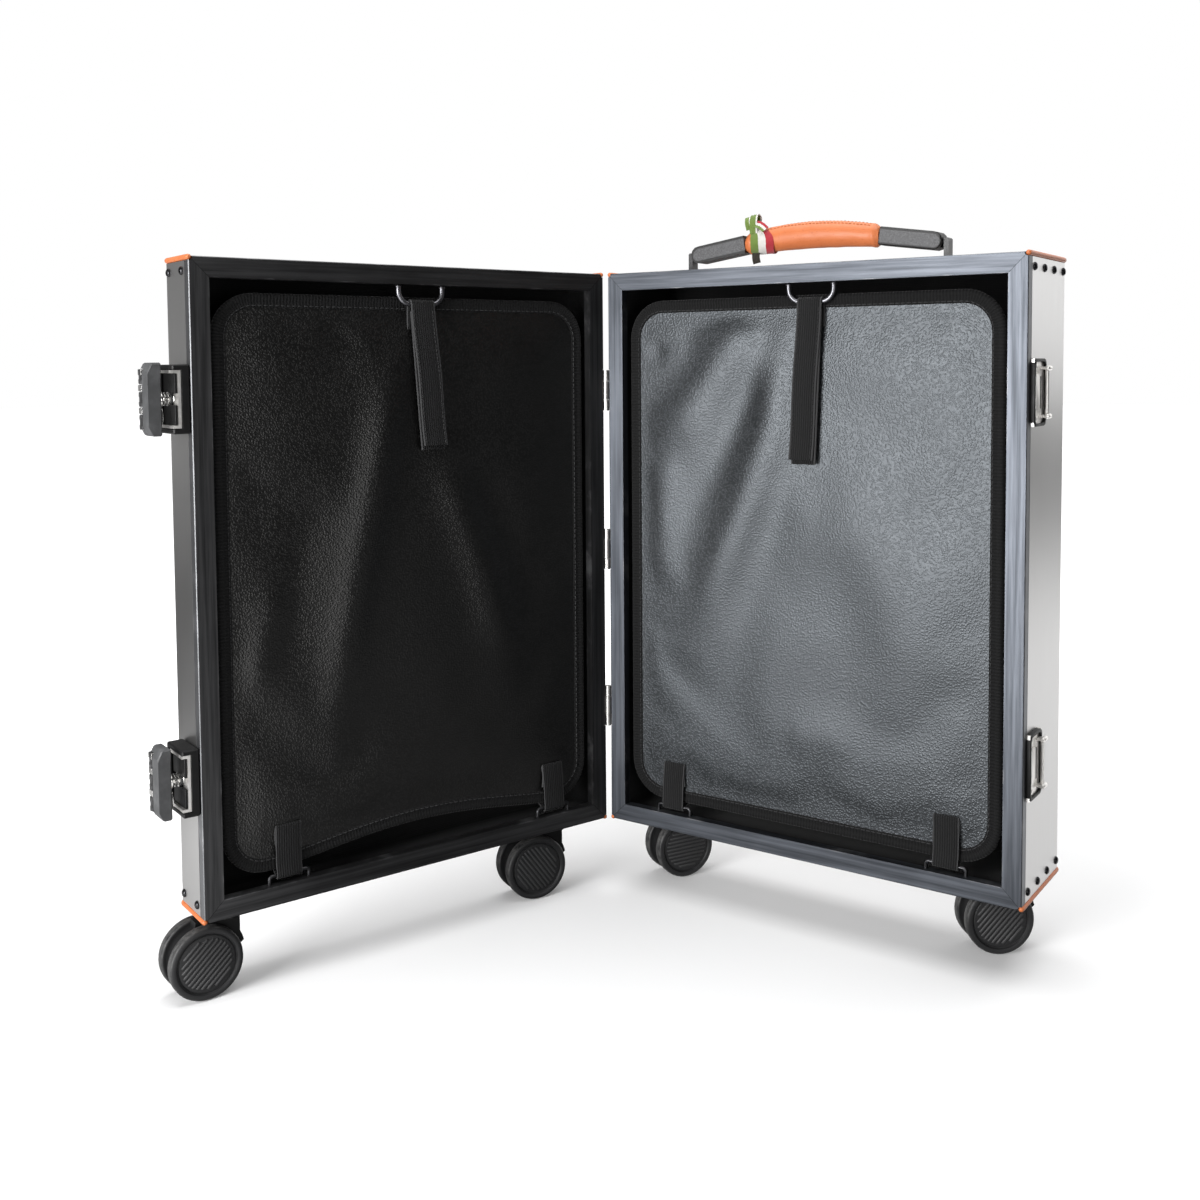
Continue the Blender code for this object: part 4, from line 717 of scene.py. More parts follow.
def add_lining(half):
    """Black cloth inside the half: walls, floor, roof and back, with softened corners and slight puckers."""
    shape = bmesh.new()
    bmesh.ops.create_cube(shape, size=1.0)
    low = Vector((LINING_INSET, LINING_FRONT, LINING_INSET + 0.001))
    high = Vector((SHELL_WIDTH - LINING_INSET, half.depth - 0.0044, SHELL_HEIGHT - LINING_INSET - 0.001))
    stretch = Matrix.Translation((low + high) / 2) @ Matrix.Diagonal((*(high - low), 1))
    bmesh.ops.transform(shape, matrix=stretch, verts=shape.verts)
    mouth = [face for face in shape.faces if face.calc_center_median().y < low.y + 1e-6]
    bmesh.ops.delete(shape, geom=mouth, context="FACES_ONLY")
    folds = [edge for edge in shape.edges if len(edge.link_faces) == 2]
    bmesh.ops.bevel(shape, geom=folds, offset=0.006, segments=3, profile=0.5, affect="EDGES")
    bmesh.ops.subdivide_edges(shape, edges=shape.edges[:], cuts=3, use_grid_fill=True)
    middle = (low + high) / 2
    for corner in shape.verts:
        pucker = noise.noise(corner.co * 45.0) * 0.0006
        corner.co += (middle - corner.co).normalized() * abs(pucker)
    lining = add_piece(half.name + "_lining", shape, LINING, half.name, half.place)


def add_shell(half):
    dress(half.name + "_wrap", PANEL[half.name])
    for end in ("top", "bottom"):
        dress(half.name + "_" + end + "_cap", PANEL[half.name])
        add_piping(half, end)
    dress(half.name + "_mouth_frame", RAILS[half.name], 0.0004)
    add_rivets(half)
    add_lining(half)


# Dividers: cloth-simulated leather, a bound edge, straps, rings and loops

DIVIDER_WIDTH = 0.332
DIVIDER_LOW = 0.0255
DIVIDER_HIGH = 0.4645
DIVIDER_CORNER = 0.032
DIVIDER_SETBACK = 0.0085
DIVIDER_BACK = 0.0138
DIVIDER_CROWN = 0.0011
DIVIDER_BORDER = 0.050
PAD_COLUMNS = 60
PAD_ROWS = 80
STAPLE_AXIS = Vector((0.0055, 0.0212))
FOLD_STRENGTH = 1.2
MOST_CLOTH_MOVE = 0.0010
NEAREST_MOUTH = 0.0021
DEEPEST_HOLLOW = 0.0122
ARCH_HALF_WIDTH = 0.125
ARCH_FADE = 0.12
BINDING_COVER = 0.012
CLOTH_STEPS = 20
RIM_STEPS = 300


def pad_low(half, across):
    """Height of the pad's lower edge, which the lid's webbing loops let arch up between them."""
    share = min(1.0, abs(across - MIDDLE) / ARCH_HALF_WIDTH)
    return DIVIDER_LOW + half.arch * (1 - share * share) ** 1.5


def pad_inset(half, across, height):
    """How far a point lies inside the pad's nearest edge or rounded corner."""
    from_side = DIVIDER_WIDTH / 2 - abs(across - MIDDLE)
    from_end = min(height - pad_low(half, across), DIVIDER_HIGH - height)
    if from_side < DIVIDER_CORNER and from_end < DIVIDER_CORNER:
        return DIVIDER_CORNER - math.hypot(DIVIDER_CORNER - from_side, DIVIDER_CORNER - from_end)
    return min(from_side, from_end)


def fold_rise(fold, across, height):
    """How far one fold lifts the leather at a point, fading towards the fold's two ends."""
    here = Vector((across, height))
    points = [Vector(point) for point in fold.path]
    total = sum((second - first).length for first, second in zip(points, points[1:]))
    nearest, share, travelled = 1.0, 0.0, 0.0
    for first, second in zip(points, points[1:]):
        leg = second - first
        along = min(max((here - first).dot(leg) / leg.length_squared, 0.0), 1.0)
        distance = (here - first - leg * along).length
        if distance < nearest:
            nearest = distance
            share = (travelled + along * leg.length) / total
        travelled += leg.length
    fade = smooth_step(share / 0.25) * smooth_step((1 - share) / 0.35) * 0.85 + 0.15
    return FOLD_STRENGTH * fold.rise * fade * math.exp(-(nearest / fold.width) ** 2)


def pad_lift(half, across, height):
    """How far the pad's front stands towards the mouth from its bound edge."""
    from_side = DIVIDER_WIDTH / 2 - abs(across - MIDDLE)
    from_end = min(height - pad_low(half, across), DIVIDER_HIGH - height)
    border = smooth_step(from_side / DIVIDER_BORDER) * smooth_step(from_end / DIVIDER_BORDER)
    near = smooth_step((pad_inset(half, across, height) - 0.010) / 0.020)
    waviness = noise.noise(Vector((across * 14, height * 14, 3.0))) * 0.0005
    return border * DIVIDER_CROWN + near * (sum(fold_rise(fold, across, height) for fold in half.folds) + waviness)


def pad_point(half, column, row):
    """Across and height of one point of the pad's grid, which has rounded corners."""
    up = math.sin((2 * row / PAD_ROWS - 1) * math.pi / 2)
    middle = (DIVIDER_HIGH + DIVIDER_LOW) / 2
    half_height = (DIVIDER_HIGH - DIVIDER_LOW) / 2
    height = middle + up * half_height
    into_corner = max(0.0, abs(height - middle) - (half_height - DIVIDER_CORNER))
    half_width = DIVIDER_WIDTH / 2 - DIVIDER_CORNER + math.sqrt(max(DIVIDER_CORNER ** 2 - into_corner ** 2, 0.0))
    across = MIDDLE + (2 * column / PAD_COLUMNS - 1) * half_width
    arch = pad_low(half, across) - DIVIDER_LOW
    return across, height + arch * (1 - smooth_step((height - DIVIDER_LOW) / ARCH_FADE))


def cloth_settled(half, sheet):
    """Let the leather relax as cloth, pinned at its bound edge, and cap how far each point moves."""
    border = sheet.vertex_groups.new(name="bound_edge")
    for corner in sheet.data.vertices:
        free = pad_inset(half, corner.co.x, corner.co.z)
        border.add([corner.index], 1.0 - smooth_step((free - BINDING_COVER) / BINDING_COVER), "REPLACE")
    cloth = sheet.modifiers.new("leather", "CLOTH")
    cloth.settings.quality = 5
    cloth.settings.mass = 0.35
    cloth.settings.tension_stiffness = 25
    cloth.settings.compression_stiffness = 18
    cloth.settings.bending_stiffness = 2.0
    cloth.settings.air_damping = 3.0
    cloth.settings.vertex_group_mass = "bound_edge"
    cloth.settings.shrink_min = -0.0005
    cloth.settings.effector_weights.gravity = 0.008
    cloth.collision_settings.use_self_collision = False
    cloth.point_cache.frame_start = 1
    cloth.point_cache.frame_end = CLOTH_STEPS
    scene = bpy.context.scene
    for step in range(1, CLOTH_STEPS + 1):
        scene.frame_set(step)
    settled = sheet.evaluated_get(bpy.context.evaluated_depsgraph_get())
    places = [corner.co.copy() for corner in settled.data.vertices]
    sheet.modifiers.remove(cloth)
    scene.frame_set(1)
    for corner, place in zip(sheet.data.vertices, places):
        move = place - corner.co
        if move.length > MOST_CLOTH_MOVE:
            move *= MOST_CLOTH_MOVE / move.length
        corner.co += move


def pad_sheet(half):
    """The pad's front leather in the half's frame, as rows of points."""
    shape = bmesh.new()
    rows = []
    for row in range(PAD_ROWS + 1):
        line = []
        for column in range(PAD_COLUMNS + 1):
            across, height = pad_point(half, column, row)
            line.append(shape.verts.new((across, DIVIDER_SETBACK - pad_lift(half, across, height), height)))
        rows.append(line)
    grid_faces(shape, rows)
    mesh = mesh_from("pad_sheet", shape)
    sheet = placed("pad_sheet", mesh)
    cloth_settled(half, sheet)
    points = [corner.co.copy() for corner in mesh.vertices]
    bpy.data.objects.remove(sheet, do_unlink=True)
    bpy.data.meshes.remove(mesh)
    for point in points:
        point.y = min(max(point.y, NEAREST_MOUTH), DEEPEST_HOLLOW)
    return [points[row * (PAD_COLUMNS + 1):(row + 1) * (PAD_COLUMNS + 1)] for row in range(PAD_ROWS + 1)]


def pad_outline(sheet):
    """The bound edge as a closed line of even steps, with the direction into the pad at each point."""
    line = [Vector((point.x, point.z)) for point in rim(sheet)]
    closed = line + [line[0]]
    lengths = running_lengths(closed)
    even, leg = [], 0
    for index in range(RIM_STEPS):
        due = lengths[-1] * index / RIM_STEPS
        while lengths[leg + 1] < due:
            leg += 1
        share = (due - lengths[leg]) / max(lengths[leg + 1] - lengths[leg], 1e-9)
        even.append(closed[leg].lerp(closed[leg + 1], share))
    inward = []
    for index in range(RIM_STEPS):
        along = (even[(index + 1) % RIM_STEPS] - even[index - 1]).normalized()
        inward.append(Vector((-along.y, along.x)))
    return even, inward, lengths[-1] / RIM_STEPS


def add_pad(half):
    """A padded leather divider: the settled front, a rolled edge and a flat back."""
    sheet = pad_sheet(half)
    shape = bmesh.new()
    front = [[shape.verts.new(point) for point in row] for row in sheet]
    back = [[shape.verts.new((point.x, DIVIDER_BACK, point.z)) for point in row] for row in sheet]
    grid_faces(shape, front)
    grid_faces(shape, back)
    front_rim, back_rim = rim(front), rim(back)
    for index in range(len(front_rim)):
        after = (index + 1) % len(front_rim)
        shape.faces.new((front_rim[index], front_rim[after], back_rim[after], back_rim[index]))
    pad = add_piece(half.name + "_divider_pad", shape, PAD_LEATHER[half.name], half.panel,
                    half.place, 60, [half.name + "_divider"])
    fine = pad.modifiers.new("finer_leather", "SUBSURF")
    fine.levels = 1
    fine.render_levels = 1
    add_binding(half, sheet)


BINDING_SECTION = [
    (0.0102, 0.0002), (0.0100, -0.0005), (0.0094, -0.0008), (0.0076, -0.0009), (0.0060, -0.0007), (0.0053, -0.0005),
    (0.0044, -0.0009), (0.0030, -0.0014), (0.0015, -0.0014), (0.0003, -0.0008), (-0.0006, 0.0006), (-0.0008, 0.0026),
    (-0.0005, 0.0046), (0.0004, 0.0060), (0.0030, 0.0064), (0.0075, 0.0062), (0.0080, 0.0052), (0.0040, 0.0030),
]
SEAM_INSET = 0.0086
SEAM_RISE = 0.00095


def add_binding(half, sheet):
    """Ribbed tape folded over the pad's edge, and the row of stitches that holds it."""
    line, inward, step = pad_outline(sheet)
    shape = bmesh.new()
    places = {}
    rings = []
    for point, turn in zip(line, inward):
        ring = []
        for inset, depth in BINDING_SECTION:
            place = point + turn * inset
            ring.append((place.x, DIVIDER_SETBACK + depth, place.y))
        rings.append(ring)
    rows = loft(shape, rings, loop=True)
    for index, row in enumerate(rows):
        for corner in row:
            places[corner] = (index * step, 0.0)
    tape_map(shape, places)
    binding = add_piece(half.name + "_divider_binding", shape, BINDING, half.panel, half.place, 70)
    sewing = bmesh.new()
    seam = [Vector((point.x + turn.x * SEAM_INSET, DIVIDER_SETBACK - SEAM_RISE, point.y + turn.y * SEAM_INSET))
            for point, turn in zip(line, inward)]
    stitches(sewing, seam + [seam[0]], [Vector((0, -1, 0))] * len(seam), 0.0046, 0.0034, 0.00042)
    add_piece(half.name + "_divider_stitches", sewing, BLACK_THREAD, half.panel, half.place)


RING_DEPTH = 0.0043
RING_BAR = 0.4594
RING_WIRE = 0.0021
RING_REACH = 0.0198
STRAP_WIDTH = 0.0215
STRAP_THICKNESS = 0.0013


def add_ring(half):
    """A D-shaped steel ring under the top rail, with a small collar at each of its feet."""
    top = SHELL_HEIGHT - FRAME_FACE - 0.0004
    corner = 0.0105
    right = arc((RING_REACH - corner, RING_BAR + corner), corner, 0, -math.pi / 2, 7)
    path = [(RING_REACH, top), (RING_REACH, top - 0.0015)] + right
    path += [(-across, height) for across, height in reversed(path)]
    middle = MIDDLE + half.strap_shift
    shape = bmesh.new()
    tube(shape, [(middle + across, RING_DEPTH, height) for across, height in path], RING_WIRE, 14)
    for side in (-1, 1):
        seat = Matrix.Translation((middle + side * RING_REACH, RING_DEPTH, top - 0.0022))
        turned(shape, [(0.0021, 0), (0.0026, 0.0003), (0.0026, 0.0018), (0.0022, 0.0022)], 14, seat)
    add_piece(half.name + "_ring", shape, RING_STEEL, half.name, half.place, 50,
              [half.name + "_strap_ring"])


def strap_paths(half):
    """The strap as it hangs: from the pad's top, through the ring and down in front; and its doubled layer."""
    bend = RING_WIRE + 0.0003 + STRAP_THICKNESS / 2
    low = RING_BAR - half.strap_length
    front = RING_DEPTH - bend
    over = arc((RING_DEPTH, RING_BAR), bend, 0.0, math.pi, 10)
    root = [(0.0078, RING_BAR - 0.020), (0.0076, RING_BAR - 0.010), (0.0074, RING_BAR - 0.003)]
    hang = [(front + 0.0001, RING_BAR - 0.012), (front, RING_BAR - 0.040), (front + 0.0001, low + 0.050),
            (front + 0.0002, low + 0.020), (front, low + 0.006), (front - 0.0001, low)]
    doubled = [(front + 0.0014, RING_BAR - 0.006), (front + 0.0015, low + 0.040), (front + 0.0016, low + 0.010),
               (front + 0.0013, low - 0.0035)]
    return flowing([*root, *over[1:], *hang], 3), flowing(doubled, 6)


def add_strap(half):
    """Doubled webbing that hangs from the ring, sewn along both edges."""
    hanging, doubled = strap_paths(half)
    middle = MIDDLE + half.strap_shift
    shape = bmesh.new()
    places = {}
    turn_at = 0.16

    def lean(share):
        drop = max(0.0, (share - turn_at) / (1 - turn_at))
        return middle + half.strap_lean * drop + 0.0004 * math.sin(9 * drop)

    def lean_doubled(share):
        return middle + half.strap_lean * (0.05 + 0.97 * share) - 0.0022 * share * math.copysign(1, half.strap_lean)

    band(shape, hanging, STRAP_WIDTH, STRAP_THICKNESS, lean, places)
    band(shape, doubled, STRAP_WIDTH, STRAP_THICKNESS, lean_doubled, places)
    tape_map(shape, places)
    strap = add_piece(half.name + "_strap_webbing", shape, WEBBING, half.panel, half.place, 60,
                      [half.name + "_divider_strap"])
    length = sum(running_lengths(path)[-1] for path in (hanging, doubled))
    sewing = bmesh.new()
    rows = [point for point in hanging if point.x < RING_DEPTH - 0.0015 and point.y < RING_BAR - 0.006]
    total = rows[0].y - rows[-1].y
    for side in (-1, 1):
        line = [Vector((lean(turn_at + (1 - turn_at) * (rows[0].y - point.y + 0.006) / (total + 0.006))
                        + side * (STRAP_WIDTH / 2 - 0.0022), point.x - STRAP_THICKNESS / 2 - 0.0001, point.y))
                for point in rows]
        stitches(sewing, line, [Vector((0, -1, 0))] * len(line), 0.0034, 0.0025, 0.00028)
    add_piece(half.name + "_strap_stitches", sewing, BLACK_THREAD, half.panel, half.place)


LOOP_WIDTH = 0.0205
LOOP_THICKNESS = 0.0013
LOOP_SPACING = 0.24605
STAPLE_REACH = 0.016
STAPLE_CORNER = 0.0022
STAPLE_WIRE = 0.00152


def add_loop(half, side, across):
    """A webbing loop sewn to the pad's foot, round the wire staple on the lower rail."""
    wrap = 0.0014 + 0.0003 + LOOP_THICKNESS / 2
    axis = STAPLE_AXIS
    path = [(0.0064, 0.0592), (0.0057, 0.0585), (0.0052, 0.0540), (0.0046, 0.0440), (0.0043, 0.0360), (0.0040, 0.0290),
            (0.0034, 0.0240)]
    path += arc(tuple(axis), wrap, math.pi, math.pi * 1.9, 8)
    path += [(0.0128, 0.0236), (0.0153, 0.0270), (0.0154, 0.0340)]
    shape = bmesh.new()
    places = {}

    def waver(share):
        return across + 0.0005 * math.sin(5 * share + across * 40)

    curve = flowing(path, 3)
    band(shape, curve, LOOP_WIDTH, LOOP_THICKNESS, waver, places)
    inner = flowing([(0.0068, 0.0578), (0.0064, 0.0500), (0.0060, 0.0400)], 5)
    band(shape, inner, LOOP_WIDTH + 0.0006, LOOP_THICKNESS, waver, places)
    tape_map(shape, places)
    name = half.name + "_loop_" + side
    loop = add_piece(name + "_webbing", shape, WEBBING, half.panel, half.place, 60, [name])
    length = sum(running_lengths(line)[-1] for line in (curve, inner))
    staple = bmesh.new()
    shoulder = axis.y - STAPLE_CORNER
    bow = [(-STAPLE_REACH, FRAME_FACE - 0.0004), (-STAPLE_REACH, shoulder)]
    bow += arc((-STAPLE_REACH + STAPLE_CORNER, shoulder), STAPLE_CORNER, math.pi, math.pi / 2, 4)
    bow += [(-place, height) for place, height in reversed(bow)]
    tube(staple, [(across + place, axis.x, height) for place, height in bow], STAPLE_WIRE, 12)
    add_piece(name + "_staple", staple, STAPLE_STEEL, half.name, half.place, 50)


def add_dividers(half):
    add_pad(half)
    add_ring(half)
    add_strap(half)
    middle = MIDDLE + half.loop_shift
    add_loop(half, "hinge_side", middle - LOOP_SPACING / 2)
    add_loop(half, "free_side", middle + LOOP_SPACING / 2)


# Hinges, latches and keepers

LATCH_LEVELS = {"upper": 0.5 + 0.29, "lower": 0.5 - 0.2827}
LATCH_MIDDLE = 0.0185
KEEPER_MIDDLE = 0.021
DIAL_RADIUS = 0.0044
DIAL_FLUTE = 0.10
DIAL_PROFILE = [(-0.0054, 0.86), (-0.0049, 0.97), (-0.0022, 1.0), (-0.0018, 0.93), (0.0018, 0.93), (0.0022, 1.0),
                (0.0049, 0.97), (0.0054, 0.86)]
SHAFT_PROFILE = [
    (0.0039, 0.0100), (0.0052, 0.0102), (0.0052, 0.0112), (0.0040, 0.0114), (0.0040, 0.0124), (0.0050, 0.0126),
    (0.0050, 0.0136), (0.0040, 0.0138), (0.0040, 0.0152), (0.0056, 0.0154), (0.0060, 0.0166), (0.0056, 0.0178),
    (0.0040, 0.0182),
]
SCREW_PROFILE = [(0.0024, 0.0), (0.0026, 0.0004), (0.0022, 0.0009), (0.0010, 0.0012), (0.0003, 0.0012)]
SIDEWAYS = Matrix.Rotation(math.pi / 2, 4, "Y")


def add_dial(name, seat):
    """A scalloped number wheel, turned about the upright spindle."""
    shape = bmesh.new()
    rings = []
    for height, share in DIAL_PROFILE:
        ring = []
        for turn in turns(40):
            radius = DIAL_RADIUS * share * (1 - DIAL_FLUTE * abs(math.sin(5 * turn)))
            ring.append((radius * math.cos(turn), radius * math.sin(turn), height))
        rings.append(ring)
    loft(shape, rings)
    add_piece(name + "_wheel", shape, DIAL_BLACK, name, Matrix.Translation(seat), 45, [name])


def add_latch(level):
    """One turn latch on the lid: its housing, claw and knob, with bright fittings between them."""
    name = "latch_" + level
    dress(name + "_housing", BLACK_MOULDING, 0.0007)
    dress(name + "_claw", PLATED, 0.0004)
    dress(name + "_knob", KNOB_GREY, 0.0009)
    for number in "123":
        dial = name + "_dial_" + number
        add_dial(dial, Vector(JOINTS[dial + "_turn"]["pos_m"]))
    seat = LID.place @ Matrix.Translation((SHELL_WIDTH, LATCH_MIDDLE, LATCH_LEVELS[level] * SHELL_HEIGHT))
    shaft = bmesh.new()
    turned(shaft, SHAFT_PROFILE, 28, SIDEWAYS)
    add_piece(name + "_shaft_rings", shaft, CHROME, name + "_knob", seat)
    bright = bmesh.new()
    for height in (-0.0082, 0.0082, 0.0196):
        block(bright, (0.0225, 0.0030, height - 0.0021), (0.0288, 0.0104, height + 0.0021))
    leaf = Matrix.Translation((0.0176, -0.0060, -0.0125)) @ Matrix.Diagonal((0.0009, 0.0030, 0.0062, 1))
    bmesh.ops.create_uvsphere(bright, u_segments=16, v_segments=10, radius=1.0, matrix=leaf)
    plates = add_piece(name + "_knob_plates", bright, CHROME, name + "_knob", seat)
    soften(plates, 0.0003, 2)
    bed = bmesh.new()
    for low, high in ((-0.0186, -0.0042), (0.0042, 0.0186)):
        block(bed, (0.0088, -0.0150, low), (0.0108, 0.0100, high))
    web = add_piece(name + "_claw_bed", bed, BLACK_MOULDING, name + "_claw", seat)
    soften(web, 0.0004, 2)
    boss = bmesh.new()
    circle = [(0.0078, 0.0056 * math.cos(turn), 0.0056 * math.sin(turn)) for turn in turns(28)]
    tube(boss, circle, 0.0015, 10, loop=True)
    add_piece(name + "_claw_boss", boss, CHROME, name + "_claw", seat)


def block(shape, low, high):
    """A box between two corners."""
    size = Vector(high) - Vector(low)
    middle = (Vector(high) + Vector(low)) / 2
    bmesh.ops.create_cube(shape, size=1.0, matrix=Matrix.Translation(middle) @ Matrix.Diagonal((*size, 1)))


def rounded_rectangle(half_width, half_height, radius, steps=4):
    corners = [(1, 1, 0.0), (-1, 1, 0.5), (-1, -1, 1.0), (1, -1, 1.5)]
    outline = []
    for across, up, start in corners:
        centre = (across * (half_width - radius), up * (half_height - radius))
        outline += arc(centre, radius, start * math.pi, (start + 0.5) * math.pi, steps)
    return outline


def add_keeper(level):
    """The catch plate on the base: a black rim, a bright pressed plate, two screws and pin caps."""
    name = "keeper_" + level
    dress(name, PLATED, 0.0003)
    seat = BASE.place @ Matrix.Translation((SHELL_WIDTH, KEEPER_MIDDLE, LATCH_LEVELS[level] * SHELL_HEIGHT))
    rim = bmesh.new()
    rings = []
    for half_width, half_height, out in ((0.0147, 0.0252, 0.0003), (0.0147, 0.0252, 0.0032), (0.0142, 0.0247, 0.0037),
                                         (0.0128, 0.0233, 0.0037), (0.0123, 0.0228, 0.0031), (0.0123, 0.0228, 0.0020)):
        rings.append([(out, depth, height) for depth, height in rounded_rectangle(half_width, half_height, 0.0040)])
    loft(rim, rings, caps=False)
    add_piece(name + "_rim", rim, BLACK_MOULDING, "base", seat)
    fittings = bmesh.new()
    for height in (-0.0195, 0.0195):
        head = Matrix.Translation((0.0016, -0.0062, height)) @ SIDEWAYS
        turned(fittings, SCREW_PROFILE, 18, head)
        cap = Matrix.Translation((0.0066, 0.0095, height * 0.92)) @ Matrix.Rotation(math.pi / 2, 4, "X")
        turned(fittings, [(0.0016, -0.0042), (0.0019, -0.0038), (0.0019, 0.0038), (0.0016, 0.0042)], 16, cap)
    outline = rounded_rectangle(0.0050, 0.0140, 0.0015)
    rings = [[(out, depth * share - 0.0042, height * share) for depth, height in outline]
             for out, share in ((0.0015, 1.0), (0.0026, 0.99), (0.0029, 0.95))]
    loft(fittings, rings)
    add_piece(name + "_fittings", fittings, PLATED, "base", seat)
    # Painted shade: a thin black block on the plate where the slot's opening is.
    slot_shade_block = bmesh.new()
    block(slot_shade_block, (0.0016, 0.0022, -0.0120), (0.0022, 0.0062, 0.0120))
    slot = add_piece(name + "_slot", slot_shade_block, BLACK_MOULDING, "base", seat)
    soften(slot, 0.0002, 2)


def add_hinges():
    for level in ("upper", "middle", "lower"):
        for half in HALVES:
            dress("hinge_" + level + "_" + half.name + "_leaf", HINGE_STEEL, 0.0003)


# Carry handle and its ribbon

HANDLE_DEPTH = 0.029
GRIP_MIDDLE_RADIUS = 0.0108
GRIP_END_RADIUS = 0.0086
GRIP_RISE = 0.0250
HANDLE_PLACE = BASE.place @ Matrix.Translation((MIDDLE, HANDLE_DEPTH, SHELL_HEIGHT))
SEAM_ANGLE = math.radians(112)


def grip_rise(across):
    share = abs(across) / (GRIP_LENGTH / 2)
    return GRIP_RISE - (GRIP_RISE - GRIP_END_RISE) * share * share


def grip_radius(across):
    share = min(1.0, abs(across) / (GRIP_LENGTH / 2))
    return GRIP_MIDDLE_RADIUS - (GRIP_MIDDLE_RADIUS - GRIP_END_RADIUS) * share * share


def grip_point(across, angle, extra=0.0):
    """A point on the grip's skin; angle 0 is towards the back and a quarter turn is up."""
    seam = math.exp(-((angle - SEAM_ANGLE) / 0.16) ** 2) * 0.0009
    wrinkle = noise.noise(Vector((across * 120, math.cos(angle) * 2, math.sin(angle) * 2))) * 0.00022
    from_end = GRIP_LENGTH / 2 - abs(across)
    tuck = -0.0016 * (1 - smooth_step(from_end / 0.004)) + 0.0007 * math.exp(-((from_end - 0.0045) / 0.0018) ** 2)
    radius = grip_radius(across) + seam + wrinkle + tuck + extra
    return Vector((across, radius * math.cos(angle), grip_rise(across) + radius * math.sin(angle)))


def add_grip():
    """Leather drawn round the handle's core, sewn along its top with a double row."""
    shape = bmesh.new()
    stations = [GRIP_LENGTH * (index / 64 - 0.5) for index in range(65)]
    loft(shape, [[grip_point(across, turn) for turn in turns(48)] for across in stations])
    add_piece("handle_grip_leather", shape, GRIP_LEATHER, "handle", HANDLE_PLACE, 60, ["handle_grip"])
    sewing = bmesh.new()
    for side in (-0.24, 0.24):
        line = [grip_point(across, SEAM_ANGLE + side, 0.0001) for across in stations[3:-3]]
        normals = [Vector((0, math.cos(SEAM_ANGLE + side), math.sin(SEAM_ANGLE + side)))] * len(line)
        stitches(sewing, line, normals, 0.0032, 0.0023, 0.0003)
    add_piece("handle_grip_stitches", sewing, TAN_THREAD, "handle", HANDLE_PLACE)


RIBBON_MIDDLE = -0.0460
RIBBON_WIDTH = 0.0215
RIBBON_HALF_THICKNESS = 0.0003
RIBBON_MAP_WIDTH = 0.022
TAIL_WIDTH = 0.0065
KNOT_WIDTH = 0.0056
KNOT = Vector((-0.0535, -0.0025, 0.0338))
STRIPES = (-0.5, 0.5)
GREEN_STRIPE = (-0.5, -0.08)
# Map span of the lower tail, which shows only the painted shade band.
PAINTED_SHADE_SPAN = (0.60, 0.75)


def ribbon_strip(shape, places, path, width, pleats=0.0, shown=STRIPES):
    """A strip of ribbon along points that each have a side vector, an outward vector and a share of the width."""
    columns = 12
    length = 0.0
    fronts, backs = [], []
    for index, (point, side, out, share) in enumerate(path):
        if index:
            length += (point - path[index - 1][0]).length
        front, behind = [], []
        for column in range(columns + 1):
            offset = (column / columns - 0.5) * width
            ripple = pleats * (1 - share) * math.sin(column * 2.1 + index * 0.25)
            ripple += 0.00015 * math.sin(index * 0.9 + column)
            place = point + side * offset * share + out * ripple
            front.append(place + out * RIBBON_HALF_THICKNESS)
            behind.append(place - out * RIBBON_HALF_THICKNESS)
        fronts.append((front, length))
        backs.append(behind)
    rings = [front + behind[::-1] for (front, _), behind in zip(fronts, backs)]
    rows = loft(shape, rings)
    for row, (_, travelled) in zip(rows, fronts):
        for index, corner in enumerate(row):
            column = index if index <= columns else 2 * columns + 1 - index
            across = shown[0] + (shown[1] - shown[0]) * column / columns
            places[corner] = (across * RIBBON_MAP_WIDTH, travelled)


def ribbon_line(line, lean, width, shape, places, shown=STRIPES):
    """A free length of the ribbon along a line, its width as near the lean as the line allows."""
    strip = []
    for index, point in enumerate(line):
        along = (line[min(index + 1, len(line) - 1)] - line[max(index - 1, 0)]).normalized()
        side = (lean - along * lean.dot(along)).normalized()
        strip.append((point, side, along.cross(side).normalized(), 1.0))
    ribbon_strip(shape, places, strip, width, shown=shown)


